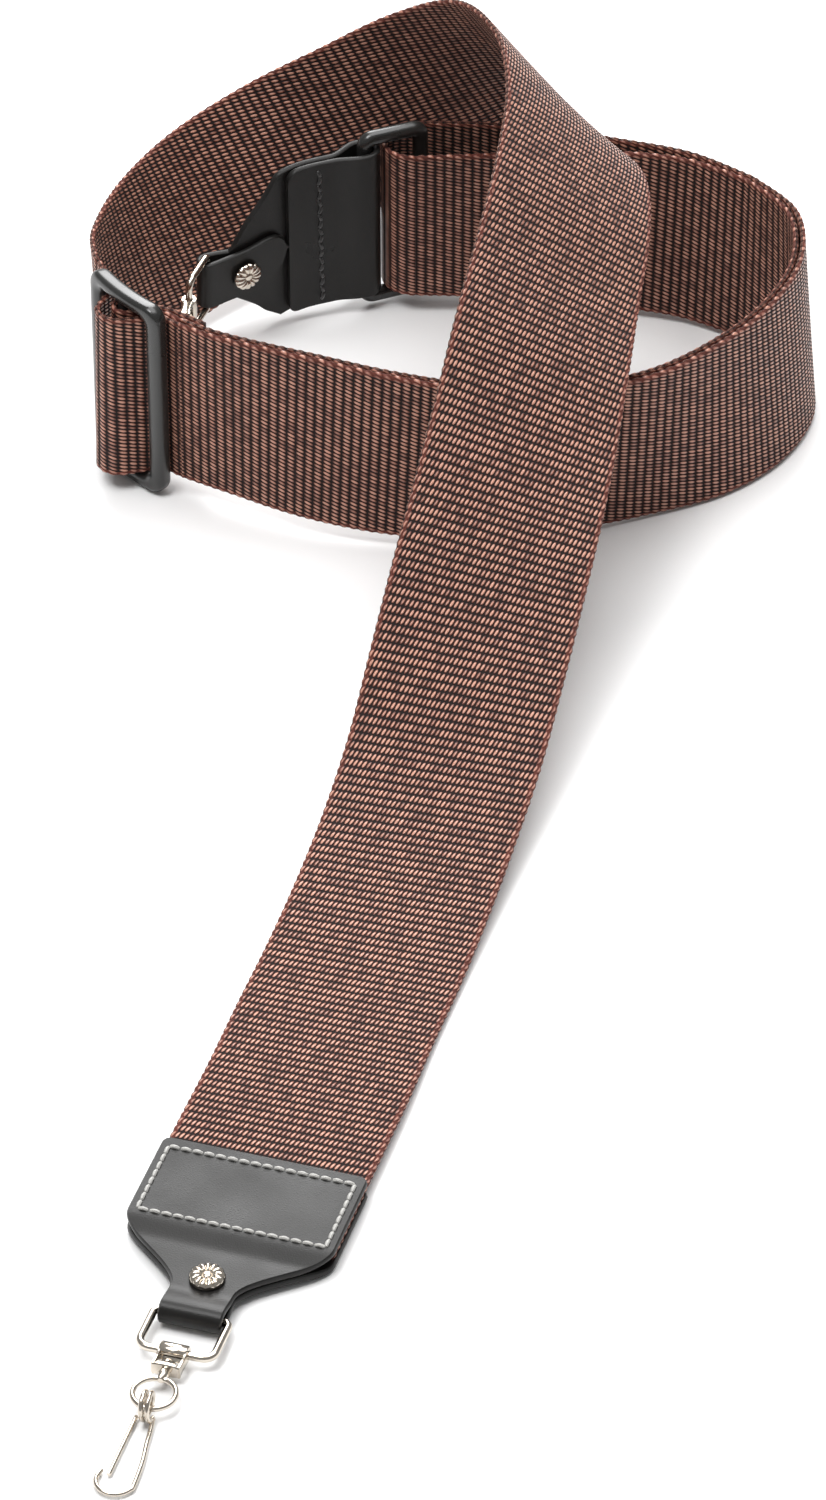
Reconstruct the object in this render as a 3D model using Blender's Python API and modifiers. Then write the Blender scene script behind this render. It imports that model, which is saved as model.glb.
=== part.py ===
"""Two-hook woven shoulder strap with leather ends, a three-bar slider and swivel snap hooks.

The strap lies as a standing loop with one leather end drawn out over it and laid down in front.
Metres, +Z up, origin under the middle of the whole object, +X to the right, -Y to the front.
"""
import math

import bmesh
import bpy
from mathutils import Matrix, Vector

MM = 0.001

# Driving dimensions
WEB_WIDTH = 50.8 * MM
WEB_THICK = 1.7 * MM
GAP = 0.3 * MM
LAYER = WEB_THICK + GAP
LEATHER_THICK = 1.8 * MM
LEATHER_HALF = 25.6 * MM
NECK_HALF = 7.8 * MM
WIRE = 1.0 * MM
THREAD = 0.35 * MM
STEP = 8 * MM

# Slider: its webbing lies in an arc, so the slider is bent to that arc and travels round it
ARC_CENTRE = Vector((-35.5, 186.2, 0)) * MM
ARC_RADIUS = 69.5 * MM
ARC_HEIGHT = 30.4 * MM
SLIDER_ANGLE = 219.0
ARC_START = 196.0
ARC_END = 246.0
BAR_PITCH = 12.5 * MM
BAR_HALF = 2.5 * MM
CORE = 1.8 * MM
SLIDER_HALF = 30.1 * MM
SLIDER_WINDOW = 26.2 * MM
UNDER_BAR = BAR_HALF + GAP + WEB_THICK / 2 + 0.25 * MM
OVER_CORE = CORE + GAP + WEB_THICK / 2
BULGE_RADIUS = 5.2 * MM
BULGE_CENTRE = 3.2 * MM

# Rear loop, upright: one bar in the leather's fold, the other in the webbing's turn
LOOP_LEATHER_BAR = Vector((-25.5, 223.2, 30.8)) * MM
LOOP_HEADING = 20.0
LOOP_LEAN = Vector((0, 0.12, -1)).normalized()
LOOP_PITCH = 16.5 * MM
LOOP_BAR = 2.2 * MM
LOOP_HALF = 28.4 * MM
TURN_CENTRE = Vector((-11.3, 228.2, 30.8)) * MM
TURN_RADIUS = 9 * MM

# Leather ends: distances along the leather from its wide end
FRONT_SEAM = 7.8 * MM
PANEL = 30 * MM
NECK_START = 47.5 * MM
FRONT_LENGTH = 54.2 * MM
WEB_IN_LEATHER = 26 * MM
FRONT_RIVET = 43.5 * MM
REAR_LENGTH = 49 * MM
REAR_PANEL = 26 * MM
REAR_NECK = 42 * MM
REAR_RIVET = 38.5 * MM
REAR_RING_SWING = -36.0

# Hook set: distances along its own length from the D-ring's bar in the leather
D_RING_HALF = 9.1 * MM
D_RING_REACH = 13 * MM
CLAMP_HALF = 3.6 * MM
PLATE_FROM = D_RING_REACH + 5.2 * MM
PLATE_TO = D_RING_REACH + 6.4 * MM
EYE_CENTRE = D_RING_REACH + 14.1 * MM
EYE_RADIUS = 5.0 * MM
EYE_WIRE = 0.7 * MM
HOOK_WIRE = 0.6 * MM
COIL_RADIUS = 3.2 * MM
COIL_CENTRE = Vector((D_RING_REACH + 19.2 * MM, 0, 0.7 * MM))
GATE_ROOT = Vector((0.8, -2.3, -3.2)) * MM
HOOK_BOW = 4.5 * MM
HOOK_BOW_CENTRE = D_RING_REACH + 40.7 * MM

# Centre line of the tail and the arch: x, y, z in mm, then the direction across the webbing
TAIL_ROUTE = [
    (-44.5, -138.8, 2.95, 0.96, -0.29, 0.00),
    (-37.5, -115.8, 2.4, 0.96, -0.28, 0.00),
    (-31, -92.3, 1.6, 0.96, -0.28, 0.00),
    (-24, -69.3, 1.8, 0.96, -0.28, 0.00),
    (-17, -45.8, 3.8, 0.96, -0.28, 0.01),
    (-10.5, -23.3, 7.5, 0.96, -0.28, 0.01),
    (-4, -0.8, 14.5, 0.97, -0.25, -0.03),
    (1.5, 20.2, 24.5, 0.97, -0.20, -0.11),
    (7, 41.2, 35.5, 0.97, -0.14, -0.20),
    (12.5, 62.2, 46.5, 0.95, -0.09, -0.28),
    (17.5, 83.2, 57, 0.93, -0.05, -0.36),
    (22, 104.7, 67.5, 0.90, 0.00, -0.44),
    (26.5, 128.7, 75, 0.86, 0.05, -0.52),
]
ARCH_ROUTE = [
    (31, 154.7, 82.5, 0.82, 0.08, -0.56),
    (32, 182.7, 85, 0.75, 0.12, -0.65),
    (25.5, 209.7, 82, 0.60, 0.14, -0.79),
    (12.5, 238.7, 75.5, 0.50, 0.26, -0.82),
    (-6, 250.2, 60, 0.49, 0.06, -0.87),
    (-27, 250.2, 46, 0.49, -0.12, -0.86),
    (-48.5, 245.2, 35, 0.48, -0.28, -0.83),
    (-68, 232.2, 29, 0.45, -0.21, -0.87),
    (-84.5, 209.7, 27.5, 0.34, -0.06, -0.94),
    (-96, 184.7, 28, 0.14, 0.00, -0.99),
]
# Middle of the two layers from the slider's arc round to the back
RING_ROUTE = [
    (-40, 118.2, 29.4, -0.03, -0.06, -1.00),
    (-17, 111.6, 28.2, -0.04, -0.03, -1.00),
    (6.5, 109.7, 27, -0.03, 0.06, -1.00),
    (30, 112.7, 26.2, -0.03, 0.12, -0.99),
    (52, 120.7, 25.8, -0.02, 0.11, -0.99),
    (72, 133.7, 25.7, 0.04, 0.00, -1.00),
    (87, 151.2, 25.7, 0.09, -0.05, -0.99),
    (95.5, 172.7, 25.7, 0.10, -0.05, -0.99),
    (94, 195.2, 25.7, 0.05, -0.04, -1.00),
    (81.5, 211.2, 25.7, -0.01, -0.08, -1.00),
]
# The two layers part behind the right-hand bend and meet the turn round the loop's bar
REAR_INNER = [
    (64, 219.9, 26.3, -0.03, -0.08, -0.99),
    (44, 222.7, 27.4, -0.02, -0.05, -0.99),
    (22, 221.4, 29.2, 0.00, 0.03, -1.00),
    (4, 219.9, 30.5, 0.00, 0.09, -1.00),
]
REAR_OUTER = [
    (65, 223.6, 26.3, -0.03, -0.07, -0.99),
    (46, 229.6, 27.4, -0.02, -0.03, -0.99),
    (25, 234, 29.2, 0.00, 0.03, -1.00),
    (5, 236.5, 30.5, 0.00, 0.09, -1.00),
]

parts = None
cutters = None


# ---------------------------------------------------------------- collections, materials, objects

def start_scene():
    global parts, cutters
    for item in list(bpy.data.objects):
        bpy.data.objects.remove(item, do_unlink=True)
    parts = bpy.data.collections.new("two_hook_strap")
    cutters = bpy.data.collections.new("cutters")
    bpy.context.scene.collection.children.link(parts)
    bpy.context.scene.collection.children.link(cutters)


def material(name, colour, roughness, metallic=0.0):
    mat = bpy.data.materials.get(name)
    if mat is None:
        mat = bpy.data.materials.new(name)
        mat.use_nodes = True
        shader = mat.node_tree.nodes["Principled BSDF"]
        shader.inputs["Base Color"].default_value = (*colour, 1.0)
        shader.inputs["Roughness"].default_value = roughness
        shader.inputs["Metallic"].default_value = metallic
    return mat


def webbing():
    return material("webbing", (0.19, 0.075, 0.05), 0.7)


def leather():
    return material("leather", (0.03, 0.03, 0.03), 0.45)


def thread():
    return material("thread", (0.015, 0.015, 0.015), 0.8)


def nickel():
    return material("nickel", (0.78, 0.75, 0.70), 0.18, 1.0)


def moulding():
    return material("moulding", (0.03, 0.03, 0.028), 0.4)


def add_object(name, data, mat, parent=None):
    data.materials.clear()
    data.materials.append(mat)
    obj = bpy.data.objects.new(name, data)
    parts.objects.link(obj)
    if parent is not None:
        obj.parent = parent
    return obj


def mesh_object(name, bm, mat, parent=None, smooth=True):
    bmesh.ops.recalc_face_normals(bm, faces=bm.faces)
    if bm.calc_volume(signed=True) < 0:
        bmesh.ops.reverse_faces(bm, faces=bm.faces)
    mesh = bpy.data.meshes.new(name)
    bm.to_mesh(mesh)
    bm.free()
    if smooth:
        mesh.shade_smooth()
        mesh.set_sharp_from_angle(angle=math.radians(35))
    return add_object(name, mesh, mat, parent)


def axis_empty(name, matrix, parent=None):
    empty = bpy.data.objects.new(name, None)
    empty.empty_display_size = 6 * MM
    parts.objects.link(empty)
    empty.parent = parent
    empty.matrix_local = matrix
    return empty


def frame_matrix(origin, x_axis, y_axis):
    y_dir = Vector(y_axis).normalized()
    z_dir = Vector(x_axis).cross(y_dir).normalized()
    x_dir = y_dir.cross(z_dir)
    return Matrix.Translation(origin) @ Matrix((x_dir, y_dir, z_dir)).transposed().to_4x4()


def tube(name, points, radius, mat, parent=None, cyclic=False):
    """A round wire along a list of points."""
    curve = bpy.data.curves.new(name, "CURVE")
    curve.dimensions = "3D"
    curve.bevel_depth = radius
    curve.bevel_resolution = 2
    curve.use_fill_caps = True
    spline = curve.splines.new("POLY")
    spline.points.add(len(points) - 1)
    for knot, point in zip(spline.points, points):
        knot.co = (*point, 1.0)
    spline.use_cyclic_u = cyclic
    return add_object(name, curve, mat, parent)


def as_mesh(obj):
    """Turn a curve object into a mesh object of the same name, with its caps welded."""
    graph = bpy.context.evaluated_depsgraph_get()
    mesh = bpy.data.meshes.new_from_object(obj.evaluated_get(graph))
    name, parent, mat = obj.name, obj.parent, obj.data.materials[0]
    bpy.data.objects.remove(obj, do_unlink=True)
    bm = bmesh.new()
    bm.from_mesh(mesh)
    bmesh.ops.remove_doubles(bm, verts=bm.verts, dist=1e-6)
    return mesh_object(name, bm, mat, parent)


def boolean(obj, tool, operation):
    """Cut or join with a hidden tool object, which moves to the cutters."""
    for home in list(tool.users_collection):
        home.objects.unlink(tool)
    cutters.objects.link(tool)
    tool.hide_render = True
    tool.display_type = "WIRE"
    modifier = obj.modifiers.new(operation.lower(), "BOOLEAN")
    modifier.operation = operation
    modifier.object = tool


def cylinder(name, radius, depth, matrix, mat, parent=None, segments=24):
    bm = bmesh.new()
    bmesh.ops.create_cone(bm, cap_ends=True, segments=segments, radius1=radius, radius2=radius,
                          depth=depth, matrix=matrix)
    return mesh_object(name, bm, mat, parent)


def block(name, low, high, mat, parent=None):
    size = Vector(high) - Vector(low)
    middle = (Vector(high) + Vector(low)) / 2
    bm = bmesh.new()
    bmesh.ops.create_cube(bm, size=1, matrix=Matrix.Translation(middle) @ Matrix.Diagonal((*size, 1)))
    return mesh_object(name, bm, mat, parent, smooth=False)


# ---------------------------------------------------------------- ribbons

class Station:
    """One cross-line of a ribbon: its middle, the direction across, and half its width."""

    def __init__(self, centre, across, half=WEB_WIDTH / 2):
        self.centre = Vector(centre)
        self.across = Vector(across).normalized()
        self.half = half


def read_route(rows):
    return [Station(Vector(row[:3]) * MM, row[3:]) for row in rows]


def catmull(a, b, c, d, t):
    return 0.5 * (2 * b + (c - a) * t + (2 * a - 5 * b + 4 * c - d) * t * t
                  + (3 * b - a - 3 * c + d) * t * t * t)


def smooth_route(stations, step=STEP):
    """A smooth curve through the stations, read at even steps."""
    ends = [stations[0]] + list(stations) + [stations[-1]]
    fine = []
    for i in range(len(stations) - 1):
        four = ends[i:i + 4]
        count = max(1, round((four[2].centre - four[1].centre).length / step))
        for k in range(count):
            t = k / count
            fine.append(Station(catmull(*[s.centre for s in four], t),
                                catmull(*[s.across for s in four], t)))
    fine.append(stations[-1])
    return fine


def tangents(stations):
    last = len(stations) - 1
    return [(stations[min(i + 1, last)].centre - stations[max(i - 1, 0)].centre).normalized()
            for i in range(last + 1)]


def normals(stations):
    """The face direction of each cross-line: out of the loop on the upright runs, up on the tail."""
    return [s.across.cross(t).normalized() for s, t in zip(stations, tangents(stations))]


def shifted(stations, offset):
    return [Station(s.centre + n * offset, s.across, s.half)
            for s, n in zip(stations, normals(stations))]


def trim(stations, start=0.0, end=0.0):
    """Shorten a run at its ends, so that runs meet with a small gap."""
    run = list(stations)
    for cut, side in ((start, 0), (end, -1)):
        while cut > 0:
            near, inner = (run[0], run[1]) if side == 0 else (run[-1], run[-2])
            length = (inner.centre - near.centre).length
            if length > cut:
                share = cut / length
                moved = Station(near.centre.lerp(inner.centre, share),
                                near.across.lerp(inner.across, share), near.half)
                run[side] = moved
                cut = 0
            else:
                cut -= length
                run.pop(side)
    return run


def ribbon(name, stations, thick, mat, parent=None):
    """A band of even thickness lofted along its stations."""
    bm = bmesh.new()
    loops = []
    for station, normal in zip(stations, normals(stations)):
        side = station.across * station.half
        up = normal * (thick / 2)
        corners = (station.centre - side + up, station.centre + side + up,
                   station.centre + side - up, station.centre - side - up)
        loops.append([bm.verts.new(c) for c in corners])
    for one, two in zip(loops, loops[1:]):
        for k in (0, 1):
            bm.faces.new((one[k], one[k + 1], two[k + 1]))
            bm.faces.new((one[k], two[k + 1], two[k]))
        for k in (2, 3):
            bm.faces.new((one[k], one[(k + 1) % 4], two[k]))
            bm.faces.new((one[(k + 1) % 4], two[(k + 1) % 4], two[k]))
    bm.faces.new(loops[0])
    bm.faces.new(loops[-1][::-1])
    return mesh_object(name, bm, mat, parent)


def arc_points(centre, radius, start, end, count):
    """Points of an arc in a plane, as (u, v), angles in degrees."""
    angles = [math.radians(start + (end - start) * k / count) for k in range(count + 1)]
    return [(centre[0] + radius * math.cos(a), centre[1] + radius * math.sin(a)) for a in angles]


# ---------------------------------------------------------------- the slider and its webbing

def polar(along, out, height=0.0):
    """A point of the slider's bent frame: along the webbing, out of the loop, and up."""
    angle = math.radians(SLIDER_ANGLE) + along / ARC_RADIUS
    reach = ARC_RADIUS + out
    return ARC_CENTRE + Vector((reach * math.cos(angle), reach * math.sin(angle),
                                ARC_HEIGHT + height))


def polar_stations(path):
    return [Station(polar(u, v), (0, 0, -1)) for u, v in path]


def arc_run(start, end, out):
    """Stations round the arc between two angles, at a distance out from the arc."""
    count = max(2, round(math.radians(abs(end - start)) * ARC_RADIUS / (5 * MM)))
    radius = ARC_RADIUS
    return [Station(polar(math.radians(start + (end - start) * k / count - SLIDER_ANGLE) * radius, out),
                    (0, 0, -1)) for k in range(count + 1)]


def crossing(radius, height, under):
    """The path over an arc on the slider's middle and under its right bar, as (along, out)."""
    lean = math.degrees(math.atan2(height, BAR_PITCH)
                        + math.asin((under + radius) / math.hypot(BAR_PITCH, height)))
    return (arc_points((0, height), radius, 90, 90 - lean, 6)
            + arc_points((BAR_PITCH, 0), under, 270 - lean, 270, 5))


def level_after_slider(layer=0.0):
    return -(UNDER_BAR + layer)


def slider_frame():
    """Three-bar slider: a rounded frame with one window and a round centre bar, bent to the arc."""
    bm = bmesh.new()
    outer = (BAR_PITCH + BAR_HALF, BAR_HALF, SLIDER_HALF)
    bmesh.ops.create_cube(bm, size=2, matrix=Matrix.Diagonal((*outer, 1)))
    frame = mesh_object("slider", bm, moulding(), smooth=False)
    bm = bmesh.new()
    window = (BAR_PITCH - BAR_HALF, 3 * BAR_HALF, SLIDER_WINDOW)
    bmesh.ops.create_cube(bm, size=2, matrix=Matrix.Diagonal((*window, 1)))
    boolean(frame, mesh_object("slider_window", bm, moulding()), "DIFFERENCE")
    bevel = frame.modifiers.new("soft_edges", "BEVEL")
    bevel.width = 1.8 * MM
    bevel.segments = 3
    core = cylinder("slider_core", CORE, 2 * SLIDER_WINDOW + 4 * MM, Matrix.Identity(4), moulding(),
                    segments=20)
    boolean(frame, core, "UNION")
    graph = bpy.context.evaluated_depsgraph_get()
    mesh = bpy.data.meshes.new_from_object(frame.evaluated_get(graph))
    bpy.data.objects.remove(frame, do_unlink=True)
    for tool in list(cutters.objects):
        bpy.data.objects.remove(tool, do_unlink=True)
    bm = bmesh.new()
    bm.from_mesh(mesh)
    for vert in bm.verts:
        vert.co = polar(*vert.co) - ARC_CENTRE
    axis = axis_empty("axis_slider_travel", Matrix.Translation(ARC_CENTRE))
    return mesh_object("slider", bm, moulding(), axis)


def slider_webbing():
    """The run that passes over the centre bar, and the sewn end that wraps round it."""
    right = crossing(BULGE_RADIUS, BULGE_CENTRE, UNDER_BAR)
    left = [(-u, v) for u, v in reversed(right)]
    reach = BAR_PITCH + 5 * MM
    level = level_after_slider()
    path = [(-reach, level)] + left[:-1] + right + [(reach, level)]
    ribbon("webbing_slider_pass", polar_stations(path), WEB_THICK, webbing())

    top = crossing(OVER_CORE, 0.0, UNDER_BAR + LAYER)
    bottom_level = level_after_slider(2 * LAYER)
    lean = math.degrees(math.asin((UNDER_BAR + 2 * LAYER - OVER_CORE) / BAR_PITCH))
    wrap = arc_points((0, 0), OVER_CORE, 270 - lean, 90, 9)
    under = arc_points((BAR_PITCH, 0), UNDER_BAR + 2 * LAYER, 270 - lean, 270, 4)
    path = ([(BAR_PITCH + 11 * MM, bottom_level)] + under[::-1] + wrap[:-1] + top
            + [(reach, level_after_slider(LAYER))])
    ribbon("webbing_sewn_end", polar_stations(path), WEB_THICK, webbing(), None)

    depth = bottom_level - WEB_THICK / 2 - GAP - THREAD
    tack = BAR_PITCH + 8 * MM
    points = [polar(tack, depth, k * 22 * MM) for k in (-1, 1)]
    tube("bar_tack", points, THREAD, thread())


def ring_layers():
    """The inner and outer layers from the slider round to the back."""
    reach = math.degrees((BAR_PITCH + 5 * MM) / ARC_RADIUS)
    middle = level_after_slider(LAYER / 2)
    arc = arc_run(SLIDER_ANGLE + reach, ARC_END, middle)
    route = smooth_route(arc[::3] + read_route(RING_ROUTE))
    layers = {}
    for key, offset, rear in (("outer", LAYER / 2, REAR_OUTER), ("inner", -LAYER / 2, REAR_INNER)):
        ring = shifted(route, offset)
        layers[key] = ring, smooth_route([ring[-1]] + read_route(rear) + turn_start(key))
    return layers


def turn_start(key):
    side = 1 if key == "outer" else -1
    return [Station(TURN_CENTRE + Vector((0, side * TURN_RADIUS, 0)), LOOP_LEAN)]


def split(run, *places):
    """Cut a run at distances along it, with a small gap at each cut."""
    lengths = [0.0]
    for one, two in zip(run, run[1:]):
        lengths.append(lengths[-1] + (two.centre - one.centre).length)
    marks = [0.0, *places, lengths[-1]]
    pieces = []
    for low, high in zip(marks, marks[1:]):
        pieces.append(trim(run, low + (GAP if low else 0), lengths[-1] - high))
    return pieces


def ring_webbing():
    layers = ring_layers()
    front, rear = layers["outer"]
    by_slider, first, bend, back = split(trim(front, GAP), 20 * MM, 120 * MM, 185 * MM)
    ribbon("webbing_outer_by_slider", by_slider, WEB_THICK, webbing())
    ribbon("webbing_outer_front", first, WEB_THICK, webbing())
    ribbon("webbing_outer_bend_1", bend, WEB_THICK, webbing())
    ribbon("webbing_outer_bend_2", back, WEB_THICK, webbing())
    ribbon("webbing_outer_rear", trim(rear, GAP, GAP), WEB_THICK, webbing())
    front, rear = layers["inner"]
    by_slider, first, bend, back = split(trim(front, GAP), 45 * MM, 120 * MM, 185 * MM)
    ribbon("webbing_inner_by_slider", by_slider, WEB_THICK, webbing())
    ribbon("webbing_inner_front", first, WEB_THICK, webbing())
    ribbon("webbing_inner_bend_1", bend, WEB_THICK, webbing())
    ribbon("webbing_inner_bend_2", back, WEB_THICK, webbing())
    ribbon("webbing_inner_rear", trim(rear, GAP, GAP), WEB_THICK, webbing())


def loop_turn():
    """The webbing's turn round the rear loop's bar."""
    points = arc_points(TURN_CENTRE.xy, TURN_RADIUS, 90, 270, 14)
    run = [Station((u, v, TURN_CENTRE.z), LOOP_LEAN) for u, v in points]
    ribbon("webbing_loop_turn", run, WEB_THICK, webbing())


def tail_and_arch():
    start = read_route(TAIL_ROUTE)
    seam, along, _ = front_frame()
    buried = Station(seam + along * WEB_IN_LEATHER, start[0].across)
    arc = arc_run(ARC_START, SLIDER_ANGLE - math.degrees((BAR_PITCH + 5 * MM) / ARC_RADIUS),
                  level_after_slider())
    route = smooth_route([buried] + start + read_route(ARCH_ROUTE) + arc)
    names = ["webbing_tail_1", "webbing_tail_2", "webbing_tail_3", "webbing_arch_1", "webbing_arch_2",
             "webbing_descent_1", "webbing_descent_2", "webbing_descent_3", "webbing_descent_4",
             "webbing_before_slider"]
    places = [100, 175, 243, 326, 408, 460, 510, 560, 614]
    for name, run in zip(names, split(trim(route, 0, GAP), *[place * MM for place in places])):
        ribbon(name, run, WEB_THICK, webbing())


# ---------------------------------------------------------------- leather ends

def ease(value, low, high):
    t = min(1.0, max(0.0, (value - low) / (high - low)))
    return t * t * (3 - 2 * t)


def fold_over(distances, spread, length, bar, fold_count=8):
    """A hairpin in (along, out): down one face, round the bar at the end, back up the other."""
    fold = bar + GAP + LEATHER_THICK / 2
    front = [(s, max(spread(s), 0) + ease(s, length - 3 * fold, length) * (fold - spread(s)))
             for s in distances if s < length]
    arc = arc_points((length, 0), fold, 90, -90, fold_count)
    return front, arc, fold


def front_frame():
    """The front leather's wide end: its middle, the direction along the leather and across it."""
    along = Vector((-0.295, -0.955, 0)).normalized()
    across = Vector((0.955, -0.295, 0)).normalized()
    return read_route(TAIL_ROUTE)[0].centre + along * FRONT_SEAM, along, across


def front_leather():
    """Leather end folded round the D-ring's bar, with the webbing's end between its faces."""
    seam, along, across = front_frame()
    rise = 0.15 * MM

    def spread(s):
        packed = (GAP + LEATHER_THICK) / 2
        open_ = WEB_THICK / 2 + GAP + LEATHER_THICK / 2
        return open_ + ease(s, WEB_IN_LEATHER + 1 * MM, WEB_IN_LEATHER + 8 * MM) * (packed - open_)

    def half(s):
        return LEATHER_HALF + ease(s, PANEL - 4 * MM, NECK_START) * (NECK_HALF - LEATHER_HALF)

    def station(s, out):
        lift = ease(s, PANEL, FRONT_RIVET - 6 * MM) * rise
        return Station(seam + along * s + Vector((0, 0, out + lift)), across, half(s))

    distances = [0, 12 * MM, 24 * MM] + [k * 3 * MM for k in range(9, 18)]
    front, arc, _ = fold_over(distances, spread, FRONT_LENGTH, WIRE)
    back = [(s, -v) for s, v in reversed(front) if s >= 0]
    run = [station(s, v) for s, v in front + arc + back]
    end = ribbon("leather_end_front", run, LEATHER_THICK, leather())
    frame = frame_matrix(seam + Vector((0, 0, rise)), along, across)
    cut_rivet_hole(end, frame @ Matrix.Translation((FRONT_RIVET, 0, 0)), "front")
    rivet("rivet_front", frame @ Matrix.Translation((FRONT_RIVET, 0, 0)), LEATHER_THICK + GAP / 2)

    top = WEB_THICK / 2 + 2 * GAP + LEATHER_THICK + THREAD
    frame = frame_matrix(seam, along, across)
    corners = [(3, -23), (3, 23), (25, 23), (25, -23)]
    points = [frame @ Vector((x * MM, y * MM, top)) for x, y in corners]
    tube("box_stitching_front", points, THREAD, thread(), cyclic=True)
    return frame_matrix(seam + along * FRONT_LENGTH + Vector((0, 0, rise)), along, across)


def cut_rivet_hole(leather_end, matrix, key):
    hole = cylinder("rivet_hole_" + key, 1.7 * MM, 30 * MM, matrix, leather(), segments=16)
    boolean(leather_end, hole, "DIFFERENCE")


def rivet(name, matrix, half_stack):
    """Domed cap, post and washer, turned about the post; the cap is on the +Z side."""
    cap, post, washer = 4.7 * MM, 1.4 * MM, 3.6 * MM
    rim = half_stack + GAP
    profile = [(0, rim + 2.0 * MM), (cap * 0.4, rim + 1.9 * MM), (cap * 0.75, rim + 1.4 * MM),
               (cap, rim + 0.5 * MM), (cap, rim), (post, rim), (post, -rim), (washer, -rim),
               (washer, -rim - 0.7 * MM), (0, -rim - 0.7 * MM)]
    mesh = bpy.data.meshes.new(name)
    mesh.from_pydata([(r, 0, z) for r, z in profile],
                     [(k, k + 1) for k in range(len(profile) - 1)], [])
    obj = add_object(name, mesh, nickel())
    obj.matrix_world = matrix
    screw = obj.modifiers.new("turn", "SCREW")
    screw.steps = 24
    screw.render_steps = 24
    screw.use_merge_vertices = True
    screw.merge_threshold = 1e-5
    return obj


def rear_path(s):
    """Place and heading of the rear leather's middle: straight at first, then bending forwards."""
    place, heading = LOOP_LEATHER_BAR.copy(), None
    steps = max(1, round(s / MM))
    for k in range(steps):
        here = (k + 0.5) / steps * s
        bend = ease(here, 14 * MM, 30 * MM)
        sag = bend * (1 - ease(here, 28 * MM, 42 * MM))
        angle = math.radians(198 + 14 * bend)
        heading = Vector((math.cos(angle), math.sin(angle), -0.05 - 0.35 * sag))
        if s > 0:
            place += heading * (s / steps)
    return place, heading.normalized()


def rear_leather():
    """Leather end folded round the loop's bar at its wide end and round the D-ring at its neck."""
    def half(s):
        taper = min(1.0, max(0.0, (s - REAR_PANEL) / (REAR_NECK - REAR_PANEL)))
        return LEATHER_HALF + taper * (NECK_HALF - LEATHER_HALF)

    def frame_at(s):
        place, heading = rear_path(s)
        return frame_matrix(place, heading, LOOP_LEAN - heading * heading.dot(LOOP_LEAN))

    def across(s):
        heading = rear_path(s)[1]
        return LOOP_LEAN - heading * heading.dot(LOOP_LEAN) * ease(s, 30 * MM, 42 * MM)

    def station(s, out, width=None):
        frame = frame_at(max(0.0, min(s, REAR_LENGTH)))
        beyond = s - max(0.0, min(s, REAR_LENGTH))
        return Station(frame @ Vector((beyond, 0, out)), across(s), width or half(s))

    stack = LEATHER_THICK + GAP
    loop_fold = LOOP_BAR + 1.5 * GAP + LEATHER_THICK / 2
    ring_fold = WIRE + GAP + LEATHER_THICK / 2
    panel = [(s, loop_fold + ease(s, 1.5 * MM, 10 * MM) * (stack - loop_fold))
             for s in [k * 3 * MM for k in range(int(REAR_PANEL / MM) // 3 + 1)]]
    fold = arc_points((0, 0), loop_fold, 90, 270, 10)
    body = [(s, -loop_fold + ease(s, 1.5 * MM, 10 * MM) * loop_fold)
            for s in [k * 3 * MM for k in range(1, 14)]]
    neck = [(s, -ease(s, 39 * MM, REAR_LENGTH) * ring_fold) for s in (42 * MM, 45 * MM)]
    end = arc_points((REAR_LENGTH, 0), ring_fold, -90, 90, 8)
    tab = [(s, ring_fold + ease(-s, -REAR_LENGTH, -40 * MM) * (stack - ring_fold))
           for s in [k * 3 * MM for k in range(15, 9, -1)]]
    run = ([station(s, v) for s, v in panel[::-1] + fold[1:] + body + neck]
           + [station(s, v, NECK_HALF) for s, v in end + tab])
    for reach, share in ((2, 0.92), (4, 0.7), (5, 0.4)):
        run.append(station(30 * MM - reach * MM, stack, NECK_HALF * share))
    leather_end = ribbon("leather_end_rear", run, LEATHER_THICK, leather())
    at_rivet = frame_at(REAR_RIVET) @ Matrix.Translation((0, 0, stack / 2))
    cut_rivet_hole(leather_end, at_rivet, "rear")
    rivet("rivet_rear", at_rivet, LEATHER_THICK + 2 * GAP)
    outside = stack + LEATHER_THICK / 2 + GAP + THREAD
    points = [frame_at(14 * MM) @ Vector((0, k * 23 * MM, outside)) for k in (-1, 1)]
    tube("stitch_row_rear", points, THREAD, thread())
    return frame_at(REAR_LENGTH) @ Matrix.Rotation(math.radians(REAR_RING_SWING), 4, "Y")


def rear_loop():
    """Rectangular moulded loop, upright, joining the leather to the webbing."""
    heading = Vector((math.cos(math.radians(LOOP_HEADING)), math.sin(math.radians(LOOP_HEADING)), 0))
    axis = axis_empty("axis_rear_loop", frame_matrix(LOOP_LEATHER_BAR, heading, -LOOP_LEAN))
    corner = 2.4 * MM
    points = []
    for x, y, start in ((LOOP_PITCH, LOOP_HALF, 0), (0, LOOP_HALF, 90),
                        (0, -LOOP_HALF, 180), (LOOP_PITCH, -LOOP_HALF, 270)):
        centre = (x - math.copysign(corner, x - 1 * MM), y - math.copysign(corner, y))
        points += [(u, v, 0) for u, v in arc_points(centre, corner, start, start + 90, 4)]
    return tube("rectangular_loop", points, LOOP_BAR, moulding(), axis, cyclic=True)


# ---------------------------------------------------------------- hook sets

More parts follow.
